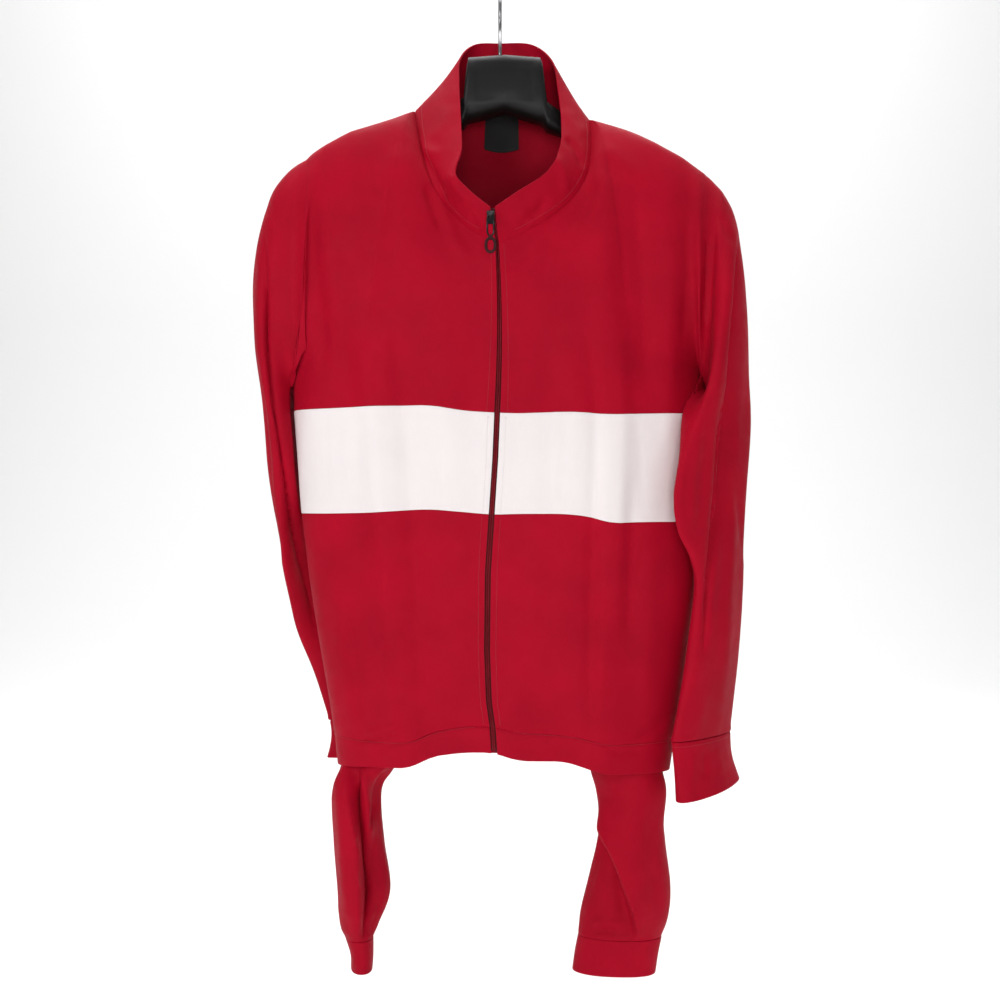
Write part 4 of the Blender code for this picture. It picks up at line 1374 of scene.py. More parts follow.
def settle(piece: Piece, name: str, finish: Finish, angle: float = 45) -> Piece:
    """Applies a piece's place, and gives it its name, its finish and its smooth faces.

    Args:
        piece: the piece.
        name: its final name.
        finish: its finish.
        angle: the least angle of an edge that stays sharp, in degrees.

    Returns:
        The piece.
    """
    take(piece)
    bpy.ops.object.transform_apply(location=True, rotation=True, scale=True)
    piece.name = name
    piece.data.name = name
    piece.data.materials.clear()
    piece.data.materials.append(finish.material())
    bpy.ops.object.shade_smooth_by_angle(angle=math.radians(angle))
    return piece


def stand_for(piece: Piece, body: str, slot: str, *nodes: str) -> Piece:
    """Makes a piece ride on a body and stand for the named nodes, which it hides."""
    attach(piece, body)
    if nodes:
        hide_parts(*nodes)
    LOG.info("%s: %d faces", piece.name, len(piece.data.polygons))
    return piece


def spaced(length: float, step: float, tight: bool) -> np.ndarray:
    """Shares from 0 to 1 along a length, closer together near both ends.

    Args:
        length: the length in millimetres.
        step: the usual distance between two shares, in millimetres.
        tight: whether the ends get their closer rows.

    Returns:
        The shares, rising.
    """
    if not tight:
        return np.linspace(0, 1, max(2, round(length / step) + 1))
    edge = [0.0, 0.8, 1.8, 3.4]
    middle = np.linspace(edge[-1], length - edge[-1], max(2, round((length - 2 * edge[-1]) / step) + 1))
    stops = edge[:-1] + list(middle) + [length - value for value in edge[-2::-1]]
    return np.array(stops) / length


@dataclass
class Cloth:
    """One cut panel, or one tube of cloth, laid out on a lattice and then creased.

    Args:
        name: the piece's name.
        place: a function from (share across, rise) to a point in millimetres.
        width: the panel's real width in millimetres.
        height: the panel's real height in millimetres.
        finish: its finish.
        outward: a direction that its outer face looks towards; a tube or a wrap has none.
        creases: the folds on it.
        wall: its thickness in millimetres.
        step: the distance between its lattice lines in millimetres.
        seams: which of its edges are sewn and so dip: left, right, foot, top.
        calm: which of its edges keep their line where they meet another piece: left, right, foot, top.
        tube: whether it closes on itself.
        wraps: whether it goes round the body without closing, and so faces away from its own middle.
        folded_edge: whether its rim is a folded edge and so is rounded.
        swell: how strong its slight unevenness is.
    """

    name: str
    place: Place
    width: float
    height: float
    finish: Finish = Finish.RED
    outward: Triple | None = None
    creases: tuple[Crease, ...] = ()
    wall: float = 1.1
    step: float = 3.4
    seams: tuple[bool, bool, bool, bool] = (True, True, True, True)
    calm: tuple[bool, bool, bool, bool] = (False, False, False, False)
    tube: bool = False
    wraps: bool = False
    folded_edge: bool = False
    swell: float = 1.0
    shares: np.ndarray = field(init=False)
    rises: np.ndarray = field(init=False)

    def __post_init__(self) -> None:
        """Works out where the lattice lines run."""
        self.shares = spaced(self.width, self.step, not self.tube)
        self.rises = spaced(self.height, self.step, True)

    def lattice(self) -> np.ndarray:
        """The base shape's points, by row and column, in millimetres."""
        turn = 2 * math.pi if self.tube else 1
        across = self.even(self.shares, lambda share: self.place(share * turn, 0.5)) * turn
        up = self.even(self.rises, lambda rise: self.place(0.5 * turn, rise))
        grid = np.array([[tuple(self.place(share, rise)) for share in across] for rise in up])
        if self.tube:
            grid[:, -1] = grid[:, 0]
        return grid

    def even(self, stops: np.ndarray, line: Callable[[float], Vector]) -> np.ndarray:
        """Places on a line of the shape that lie as the stops do along its real length.

        Args:
            stops: shares of the line's length, from 0 to 1.
            line: the line, from 0 to 1.

        Returns:
            The places, from 0 to 1.
        """
        samples = np.linspace(0, 1, LINE_SAMPLES)
        points = np.array([tuple(line(sample)) for sample in samples])
        steps = np.linalg.norm(np.diff(points, axis=0), axis=1)
        lengths = np.concatenate([[0], np.cumsum(steps)])
        return np.interp(stops, lengths / lengths[-1], samples)

    def normals(self, grid: np.ndarray) -> tuple[np.ndarray, bool]:
        """Unit normals that point out of the cloth.

        Args:
            grid: points by row and column.

        Returns:
            The normals, and whether the lattice's own faces point inwards.
        """
        up = np.gradient(grid, axis=0)
        if self.tube:
            ring = grid[:, :-1]
            across = np.roll(ring, -1, axis=1) - np.roll(ring, 1, axis=1)
            across = np.concatenate([across, across[:, :1]], axis=1)
        else:
            across = np.gradient(grid, axis=1)
        normals = np.cross(across, up)
        length = np.linalg.norm(normals, axis=2, keepdims=True)
        normals = normals / np.maximum(length, 1e-9)
        if self.tube or self.wraps:
            centre = grid[:, :-1].mean(axis=1, keepdims=True)
            outside = float(((grid - centre) * normals).sum())
        else:
            outside = float((normals * length).sum(axis=(0, 1)) @ np.array(self.outward))
        inwards = outside < 0
        return (-normals if inwards else normals), inwards

    def lift(self, grid: np.ndarray, normals: np.ndarray) -> np.ndarray:
        """How far the cloth's points move along their normals: unevenness, creases and seams."""
        flat, ways = grid.reshape(-1, 3), normals.reshape(-1, 3)
        lift = self.swell * swells(flat)
        for crease in self.creases:
            lift += crease.lift(flat, ways)
        lift = lift.reshape(grid.shape[:2])
        from_left = self.shares[None, :] * self.width
        from_foot = self.rises[:, None] * self.height
        distances = (from_left, self.width - from_left, from_foot, self.height - from_foot)
        for sewn, still, distance in zip(self.seams, self.calm, distances):
            if still:
                lift = lift * (1 - np.exp(-((distance / CALM_REACH) ** 2)))
            if sewn:
                lift = lift - SEAM_DIP * np.exp(-((distance / SEAM_DIP_REACH) ** 2))
        return lift

    def build(self) -> Piece:
        """Makes the panel as a thin wall.

        Returns:
            The finished piece, in metres.
        """
        grid = self.lattice()
        normals, inwards = self.normals(grid)
        grid = grid + normals * self.lift(grid, normals)[:, :, None]
        if self.tube:
            grid[:, -1] = grid[:, 0]
        columns, rows = len(self.shares) - 1, len(self.rises) - 1
        clear_selection()
        bpy.ops.mesh.primitive_grid_add(x_subdivisions=columns, y_subdivisions=rows, size=1)
        piece = bpy.context.object
        self.lay(piece.data, grid, columns, rows)
        if self.tube:
            with editing():
                bpy.ops.mesh.remove_doubles(threshold=WELD)
        if inwards:
            piece.data.flip_normals()
        area = sum(face.area for face in piece.data.polygons)
        LOG.info("%s: %.4f m2 laid, %.4f m2 cut", self.name, area, self.width * self.height * MM * MM)
        apply_modifier(piece, "SOLIDIFY", thickness=self.wall * MM, offset=-1, use_even_offset=False)
        if self.folded_edge:
            bevel(piece, 0.3 * self.wall, 2, 60)
        return settle(piece, self.name, self.finish)

    def lay(self, mesh: bpy.types.Mesh, grid: np.ndarray, columns: int, rows: int) -> None:
        """Moves a flat unit grid's points and UVs to the panel's own.

        Args:
            mesh: the flat grid's mesh.
            grid: the panel's points by row and column, in millimetres.
            columns: how many faces the grid has across.
            rows: how many faces the grid has up.
        """
        flat = np.empty(len(mesh.vertices) * 3)
        mesh.vertices.foreach_get("co", flat)
        flat = flat.reshape(-1, 3)
        column = np.rint((flat[:, 0] + 0.5) * columns).astype(int)
        row = np.rint((flat[:, 1] + 0.5) * rows).astype(int)
        mesh.vertices.foreach_set("co", (grid[row, column] * MM).ravel())
        layer = mesh.uv_layers.active.data
        marks = np.empty(len(layer) * 2)
        layer.foreach_get("uv", marks)
        marks = marks.reshape(-1, 2)
        across = self.shares[np.rint(marks[:, 0] * columns).astype(int)] * self.width * MM
        up = self.rises[np.rint(marks[:, 1] * rows).astype(int)] * self.height * MM
        layer.foreach_set("uv", np.stack([across, up], axis=1).ravel())
        mesh.update()


@dataclass
class Seeds:
    """One small shape, modelled once and repeated along a route in a single mesh.

    Args:
        name: the joined piece's name.
        finish: its finish.
        template: the small shape's piece, along X, with Z up.
        frames: where each copy goes: its middle, its way along and its way up, in millimetres.
    """

    name: str
    finish: Finish
    template: Piece
    frames: list[tuple[Vector, Vector, Vector]]

    def build(self) -> Piece:
        """Makes the joined piece and removes the template."""
        source = self.template.data
        corners = np.array([tuple(vertex.co) for vertex in source.vertices])
        faces = [tuple(face.vertices) for face in source.polygons]
        points, loops = [], []
        for middle, along, up in self.frames:
            first = along.normalized()
            third = (up - first * up.dot(first)).normalized()
            second = third.cross(first)
            turned = corners @ np.array([tuple(first), tuple(second), tuple(third)])
            start = len(points) * len(corners)
            points.append(turned + np.array(tuple(middle)) * MM)
            loops += [tuple(start + index for index in face) for face in faces]
        mesh = bpy.data.meshes.new(self.name)
        mesh.from_pydata(np.concatenate(points).tolist(), [], loops)
        bpy.data.objects.remove(self.template, do_unlink=True)
        piece = bpy.data.objects.new(self.name, mesh)
        bpy.context.scene.collection.objects.link(piece)
        return settle(piece, self.name, self.finish, 70)


def stitch_template(length: float, thickness: float) -> Piece:
    """One stitch: a short round-ended thread, pressed a little flat.

    Args:
        length: its length in millimetres.
        thickness: its diameter in millimetres.

    Returns:
        The template, at the origin along X.
    """
    clear_selection()
    bpy.ops.mesh.primitive_uv_sphere_add(segments=6, ring_count=4, radius=0.5)
    piece = bpy.context.object
    with editing():
        bpy.ops.transform.rotate(value=math.pi / 2, orient_axis="Y", center_override=(0, 0, 0))
        bpy.ops.transform.resize(value=(length * MM, thickness * MM, thickness * 0.7 * MM),
                                 center_override=(0, 0, 0))
    return piece


def stitches(name: str, finish: Finish, route: Sequence[tuple[Vector, Vector]], pitch: float = 3.0,
             thickness: float = 0.55, gap: float = 0.9) -> Piece:
    """A line of stitches along a route on the cloth.

    Args:
        name: the piece's name.
        finish: the thread's finish.
        route: points of the route in millimetres, each with the cloth's normal there.
        pitch: the distance from one stitch to the next.
        thickness: the thread's diameter.
        gap: the part of the pitch that the thread is under the cloth.

    Returns:
        The joined stitches.
    """
    distances = [0.0]
    for (before, _), (after, _) in zip(route, route[1:]):
        distances.append(distances[-1] + (after - before).length)
    rows = [(d, *p, *n) for d, (p, n) in zip(distances, route)]
    frames = []
    for count in range(int(distances[-1] / pitch)):
        start = look_up(rows, count * pitch + gap / 2)
        end = look_up(rows, (count + 1) * pitch - gap / 2)
        first, last, up = Vector(start[1:4]), Vector(end[1:4]), Vector(start[4:7])
        frames.append(((first + last) / 2, last - first, up))
    return Seeds(name, finish, stitch_template(pitch - gap, thickness), frames).build()


def on_cloth(place: Place, route: Sequence[Point], outward: Triple,
             creases: tuple[Crease, ...], proud: float, swell: float = 1.0) -> list[tuple[Vector, Vector]]:
    """A route on a creased panel, a little proud of it.

    Args:
        place: the panel's base shape.
        route: shares across and rises along the route.
        outward: a direction that the panel's outer face looks towards where the route starts.
        creases: the panel's folds.
        proud: how far the route stands off the cloth, in millimetres.
        swell: how strong the panel's unevenness is.

    Returns:
        Points in millimetres, each with its normal.
    """
    tiny = 0.002
    points, ways = [], []
    facing = 0.0
    for share, rise in route:
        here = place(share, rise)
        right = place(share + tiny, rise) - place(share - tiny, rise)
        up = place(share, rise + tiny) - place(share, rise - tiny)
        normal = right.cross(up).normalized()
        facing = facing or math.copysign(1, normal.dot(Vector(outward)))
        points.append(here)
        ways.append(normal * facing)
    flat, normals = np.array([tuple(p) for p in points]), np.array([tuple(n) for n in ways])
    lift = swell * swells(flat)
    for crease in creases:
        lift = lift + crease.lift(flat, normals)
    return [(p + n * (float(h) + proud), n) for p, n, h in zip(points, ways, lift)]


@dataclass
class Jacket:
    """The jacket's body: three panels on each side of the zip, the back and the hem band.

    Args:
        chest_size: cut width and height of a chest panel, in metres.
        band_size: cut width and height of a white band panel.
        lower_size: cut width and height of a lower front.
        back_size: cut width and height of the back.
        hem_size: cut length and height of the hem band, as it shows.
        shares: how much of its rectangle each front panel fills, by name; not used.
        back_share: how much of its rectangle the back fills; not used.
        topstitch: how far the stitches lie from the zip's edge, in millimetres.
        hem_reach: how far up its own height the hem band runs; above 1 it tucks under the panels.
        hem_tuck: how far in its top edge goes there, as a share of its depth.
        hem_turn: from what share of its height the band starts to go in.
        hem_front: the share of its length that each front takes up.
        rest: what the jacket hangs on; not used.
    """

    chest_size: Point = (0.245, 0.335)
    band_size: Point = (0.265, 0.114)
    lower_size: Point = (0.25, 0.245)
    back_size: Point = (0.53, 0.75)
    hem_size: Point = (0.885, 0.034)
    shares: Triple = (0.85, 1.0, 0.97)
    back_share: float = 0.87
    topstitch: float = 6.4
    hem_reach: float = 1.05
    hem_tuck: float = 0.014
    hem_turn: float = 0.94
    hem_front: float = 0.29
    rest: tuple[str, ...] = ("hanger_body",)

    def front(self, side: Side, low: Line, high: Line) -> Place:
        """The shape of a front panel between two seam lines, drawn in at its seams."""
        height = high.level - low.level

        def place(share: float, rise: float) -> Vector:
            """A point of the panel."""
            inset = SEAM_GAP / 2 / height
            return front_point(side, share, low, high, inset + rise * (1 - 2 * inset))

        return place

    def chest(self, side: Side) -> Place:
        """The shape of a chest panel."""
        start = SEAM_GAP / 2 / CHEST_HEIGHT

        def place(share: float, rise: float) -> Vector:
            """A point of the panel."""
            up = blend(start, 1, rise)
            point = chest_point(side, share, up)
            point.y -= armhole_fill(armhole_angle(up), (1 - share) * FRONT_GIRTH)
            return under_outline(point)

        return place

    def back(self, share: float, rise: float) -> Vector:
        """A point of the back, from the hem's seam to the neck and shoulders."""
        turn = 0.5
        if rise <= turn:
            start = SEAM_GAP / 2 / CHEST_HEIGHT
            return back_point(share, Line.HEM_SEAM, Line.BAND_TOP, blend(start, 1, rise / turn))
        up = (rise - turn) / (1 - turn)
        point = yoke_point(share, up)
        point.y += armhole_fill(armhole_angle(up), min(share, 1 - share) * 2 * FRONT_GIRTH)
        return under_outline(point)

    def hem(self, share: float, rise: float) -> Vector:
        """A point of the hem band, from the zip round the back to the zip."""
        turn, lines = self.hem_front, (Line.HEM_EDGE, Line.HEM_SEAM)
        up = rise * self.hem_reach
        if share < turn:
            point = front_point(Side.LEFT, share / turn, *lines, up)
        elif share > 1 - turn:
            point = front_point(Side.RIGHT, (1 - share) / turn, *lines, up)
        else:
            point = back_point((share - turn) / (1 - 2 * turn), *lines, up)
        point.y *= 1 - self.hem_tuck * max(up - self.hem_turn, 0) / (1 - self.hem_turn)
        return point

    def build(self) -> None:
        """Builds the body's panels and their stitches."""
        forward = (0, -1, 0)
        for side in Side:
            panels = (
                ("chest", self.chest(side), self.chest_size, Finish.RED, "red_cloth"),
                ("band", self.front(side, Line.BAND_FOOT, Line.BAND_TOP), self.band_size, Finish.WHITE,
                 "white_cloth"),
                ("lower", self.front(side, Line.HEM_SEAM, Line.BAND_FOOT), self.lower_size, Finish.RED,
                 "red_cloth"),
            )
            for (name, place, size, finish, slot), share in zip(panels, self.shares):
                node = f"front_{side.value}_{name}"
                piece = Cloth(f"{node}_cloth", place, size[0] / MM, size[1] / MM, finish, forward,
                              BODY_CREASES, seams=(True, False, True, name != "chest"),
                              calm=(False, True, False, name == "chest")).build()
                stand_for(piece, "suit", slot, node)
                self.stitch(side, name, place, finish, slot)
        back = Cloth("back_cloth", self.back, self.back_size[0] / MM, self.back_size[1] / MM, Finish.RED,
                     (0, 1, 0), BACK_CREASES, step=4.4, seams=(False, False, True, True),
                     calm=(True, True, False, True)).build()
        stand_for(back, "suit", "red_cloth", "back")
        hem = Cloth("hem_band_cloth", self.hem, self.hem_size[0] / MM, self.hem_size[1] / MM, Finish.RED,
                    creases=BODY_CREASES + BACK_CREASES, wall=2.0, step=3.6,
                    seams=(True, True, False, True), wraps=True, folded_edge=True)
        piece = hem.build()
        stand_for(piece, "suit", "red_cloth", "hem_band")
        route = on_cloth(self.hem, [(0.01 + 0.98 * step / 240, 0.93) for step in range(241)],
                         (0, -1, 0), BODY_CREASES + BACK_CREASES, 0.15)
        stand_for(stitches("hem_stitch", Finish.RED_THREAD, route), "suit", "red_cloth")

    def stitch(self, side: Side, name: str, place: Place, finish: Finish, slot: str) -> None:
        """Sews the line of stitches beside the zip."""
        thread = Finish.WHITE_THREAD if finish is Finish.WHITE else Finish.RED_THREAD
        first = place(0.0, 0.5)
        low, high, halvings, steps = 0.0, 0.4, 24, 40
        for _ in range(halvings):
            share = (low + high) / 2
            if abs(place(share, 0.5).x - first.x) < self.topstitch:
                low = share
            else:
                high = share
        route = on_cloth(place, [(share, 0.01 + 0.98 * step / steps) for step in range(steps + 1)],
                         (0, -1, 0), BODY_CREASES, 0.15)
        piece = stitches(f"topstitch_{side.value}_{name}", thread, route)
        stand_for(piece, "suit", slot)
        if name == "band":
            self.tack(side, place, share, thread, slot)

    def tack(self, side: Side, place: Place, share: float, thread: Finish, slot: str) -> None:
        """Sews the short close bar tack across the top of the white band, beside the zip.

        Args:
            side: the front's side.
            place: the band's shape.
            share: where the line of stitches runs.
            thread: the thread's finish.
            slot: the slot that the thread belongs to.
        """
        rows = (0.955, 0.945, 0.955)
        starts = (share * 0.72, share, share * 1.28)
        route = on_cloth(place, list(zip(starts, rows)), (0, -1, 0), BODY_CREASES, 0.25)
        piece = stitches(f"bar_tack_{side.value}", thread, route, 1.0, 0.9, 0.2)
        stand_for(piece, "suit", slot)


@dataclass
class Collar:
    """The standing collar, open at the front, with its folded edge.

    Args:
        size: its length round the neck and its height, in metres.
        tuck: how far its seam lies inside the jacket's neck edge, in millimetres.
        seam_stitch: how high above its seam the stitches run, as a share of its height.
        lap: how far it reaches below its seam, as a share of its height.
        tuck_reach: how far up its height the tuck fades.
    """

    size: Point = (0.56, 0.062)
    tuck: float = 0.3
    seam_stitch: float = 0.2
    lap: float = 0.03
    tuck_reach: float = 0.08

    def place(self, share: float, rise: float) -> Vector:
        """A point of the collar."""
        up = blend(-self.lap, 1, rise)
        point = collar_point(share * (len(COLLAR) - 1), up)
        middle = Vector((*NECK_AXIS, point.z))
        inside = self.tuck * bell(rise, 0, self.tuck_reach)
        return point + (middle - point).normalized() * inside

    def build(self) -> None:
        """Builds the collar and the stitches above its seam."""
        piece = Cloth("collar_cloth", self.place, self.size[0] / MM, self.size[1] / MM, Finish.RED,
                      creases=COLLAR_CREASES, wall=2.0, step=2.6, seams=(True, True, False, False),
                      calm=(False, False, True, False),
                      wraps=True, folded_edge=True, swell=0.5).build()
        stand_for(piece, "suit", "red_cloth", "collar")
        route = on_cloth(self.place, [(0.03 + 0.94 * step / 160, self.seam_stitch) for step in range(161)],
                         (0, -1, 0), COLLAR_CREASES, 0.15, 0.5)
        stand_for(stitches("collar_stitch", Finish.RED_THREAD, route), "suit", "red_cloth")


@dataclass
class Limb:
    """A tube of cloth with its cuff.

    Args:
        side: which side it is on.
        girth: the cloth's mean width round it, in metres.
        length: its length, in metres.
        cuff_size: the cuff's girth and height, in metres.
        creases: its folds.
        cuff_creases: the cuff's folds.
    """

    side: Side
    girth: float
    length: float
    cuff_size: Point
    creases: tuple[Crease, ...]
    cuff_creases: tuple[Crease, ...]

    def place(self, angle: float, rise: float) -> Vector:
        """A point of the tube; each kind of limb has its own."""
        raise NotImplementedError

    def cuff_place(self, angle: float, rise: float) -> Vector:
        """A point of the cuff; each kind of limb has its own."""
        raise NotImplementedError

    def sew(self, name: str, cuff_name: str, rest: str, calm_foot: bool, cuff_step: float) -> None:
        """Builds the tube and its cuff.

        Args:
            name: the tube's node.
            cuff_name: the cuff's node.
            rest: the node that they hang from; not used.
            calm_foot: whether the tube's first edge keeps its line.
            cuff_step: the distance between the cuff's lattice lines, in millimetres.
        """
        tube = Cloth(f"{name}_cloth", self.place, self.girth / MM, self.length / MM, creases=self.creases,
                     seams=(False, False, False, True), calm=(False, False, calm_foot, True), step=2.6,
                     tube=True).build()
        stand_for(tube, "suit", "red_cloth", name)
        cuff = Cloth(f"{cuff_name}_cloth", self.cuff_place, self.cuff_size[0] / MM, self.cuff_size[1] / MM,
                     creases=self.cuff_creases, wall=2.0, step=cuff_step,
                     seams=(False, False, True, False), tube=True, folded_edge=True).build()
        stand_for(cuff, "suit", "red_cloth", cuff_name)


@dataclass
class Sleeve(Limb):
    """A sleeve with its cuff.

    Args:
        nearer: how far the left sleeve's inner side moves to the jacket, in millimetres.
        slimmer: how far the left sleeve's outer side is drawn in above the cuff.
        drawn_in: how far both hang closer at the upper arm.
        upper_arm: the height and the reach of that.
        armpit: the height and the reach of the inner side's move.
        forearm: the height and the reach of the outer side's.
    """

    nearer: float = 27.0
    slimmer: float = 14.0
    drawn_in: float = 3.0
    upper_arm: Point = (-320, 90)
    armpit: Point = (-505, 120)
    forearm: Point = (-655, 70)

    def place(self, angle: float, rise: float) -> Vector:
        """A point of the sleeve; on the left its inner side hangs against the jacket's side."""
        point = sleeve_point(self.side, angle, rise)
        point.y -= armhole_fill(angle, rise * self.length / MM)
        point = under_outline(point)
        point.x -= self.side.sign * self.drawn_in * bell(point.z, *self.upper_arm)
        inner = (1 - math.cos(angle)) / 2
        if self.side is Side.LEFT and rise > 0:
            point.x += self.nearer * inner ** 2 * bell(point.z, *self.armpit)
            point.x += self.slimmer * (1 - inner) * bell(point.z, *self.forearm)
            point = clear_of_body(point)
        return point

    def cuff_place(self, angle: float, rise: float) -> Vector:
        """A point of the cuff."""
        return sleeve_ring(self.side, smooth_row(CUFFS[self.side.value], rise * 2), angle)

    def build(self) -> None:
        """Builds the sleeve, its cuff and the stitches at the cuff's seam."""
        name = self.side.value
        self.sew(f"sleeve_{name}", f"cuff_{name}", "hanger_body", True, 3.0)
        outwards = (self.side.sign, 0, 0)
        route = on_cloth(self.cuff_place, [(2 * math.pi * step / 72, 0.08) for step in range(73)], outwards,
                         self.cuff_creases, 0.15)
        stand_for(stitches(f"cuff_stitch_{name}", Finish.RED_THREAD, route), "suit", "red_cloth")


@dataclass
class Leg(Limb):
    """A trouser leg with its elastic cuff."""

    def place(self, angle: float, rise: float) -> Vector:
        """A point of the leg."""
        rows = LEGS[self.side.value]
        return leg_ring(smooth_row(rows, rise * (len(rows) - 1)), angle)

    def cuff_place(self, angle: float, rise: float) -> Vector:
        """A point of the cuff, gathered by its elastic."""
        return leg_ring(smooth_row(LEG_CUFFS[self.side.value], rise * 2), angle)

    def build(self) -> None:
        """Builds the leg and its cuff."""
        name = self.side.value
        self.sew(f"leg_{name}", f"leg_cuff_{name}", "trouser_bar", False, 2.8)


@dataclass
class Seat:
    """The top of the trousers, folded over the bar inside the jacket.

    Args:
        half_width: half its width, in millimetres.
        middle: its middle across, in millimetres.
        bar_height: the height of the bar's axis.
        radius: the radius of the bend over the bar.
        front_foot: how low the front layer reaches.
        back_foot: how low the back layer reaches.
        waist_height: the waistband's height.
        front_lean: how far the front layer's foot comes forward.
        back_lean: how far the back layer's foot goes back.
        gathers: the height and the pitch of the elastic's gathers.
    """

    half_width: float = 176.0
    middle: float = 4.0
    bar_height: float = -245.0
    radius: float = 7.3
    front_foot: float = -337.3
    back_foot: float = -420.0
    waist_height: float = 40.0
    front_lean: float = 10
    back_lean: float = 22
    gathers: Point = (1.2, 4.5)

    @property
    def front_drop(self) -> float:
        """The front layer's straight part."""
        return self.bar_height - self.front_foot

    @property
    def back_drop(self) -> float:
        """The back layer's straight part."""
        return self.bar_height - self.back_foot

    @property
    def whole(self) -> float:
        """The whole way over the bar."""
        return self.front_drop + math.pi * self.radius + self.back_drop

    def place(self, share: float, rise: float) -> Vector:
        """A point of the folded sheet, from its front foot over the bar to its back foot."""
        way = rise * self.whole
        x = self.middle + (share - 0.5) * 2 * self.half_width
        if way < self.front_drop:
            lean = self.front_lean * (1 - way / self.front_drop)
            return Vector((x, -self.radius - lean, self.front_foot + way))
        arc = way - self.front_drop
        if arc < math.pi * self.radius:
            angle = arc / self.radius
            y, z = -self.radius * math.cos(angle), self.radius * math.sin(angle)
            return Vector((x, y, self.bar_height + z))
        down = arc - math.pi * self.radius
        return Vector((x, self.radius + self.back_lean * down / self.back_drop, self.bar_height - down))

    def band_place(self, share: float, rise: float) -> Vector:
        """A point of the waistband, gathered by its elastic."""
        x = self.middle + (share - 0.5) * 2 * self.half_width
        height, pitch = self.gathers
        y = self.radius + self.back_lean + 3 * rise + height * math.sin(x / pitch)
        return Vector((x, y, self.back_foot - SEAM_GAP - self.waist_height * rise))

    def build(self) -> None:
        """Builds the seat and the waistband."""
        width = 2 * self.half_width
        seat = Cloth("trouser_seat_cloth", self.place, width, self.whole, outward=(0, 0, 1), wall=2.2,
                     step=6.0, swell=0.6).build()
        stand_for(seat, "suit", "red_cloth", "trouser_seat")
        band = Cloth("waistband_cloth", self.band_place, width, self.waist_height, outward=(0, 1, 0),
                     wall=3.5, step=2.2, folded_edge=True).build()
        stand_for(band, "suit", "red_cloth", "waistband")


def wire(name: str, finish: Finish, route: Sequence[Vector], radius: float, closed: bool = False,
         sides: int = 4) -> Piece:
    """A bent wire with rounded ends, from a curve made into a mesh.

    Args:
        name: the piece's name.
        finish: its finish.
        route: its axis, in millimetres.
        radius: its radius in millimetres.
        closed: whether it is a ring.
        sides: the curve's bevel resolution.

    Returns:
        The finished wire.
    """
    clear_selection()
    bpy.ops.curve.primitive_nurbs_path_add()
    piece = bpy.context.object
    curve = piece.data
    curve.splines.clear()
    spline = curve.splines.new("POLY")
    spline.points.add(len(route) - 1)
    for target, point in zip(spline.points, route):
        target.co = (*(point * MM), 1)
    spline.use_cyclic_u = closed
    curve.dimensions = "3D"
    curve.bevel_depth = radius * MM
    curve.bevel_resolution = sides
    curve.use_fill_caps = not closed
    take(piece)
    bpy.ops.object.convert(target="MESH")
    with editing():
        bpy.ops.mesh.remove_doubles(threshold=WELD)
        bpy.ops.mesh.normals_make_consistent(inside=False)
    if not closed:
        bevel(piece, radius * 0.35, 3, 60)
    return settle(piece, name, finish)


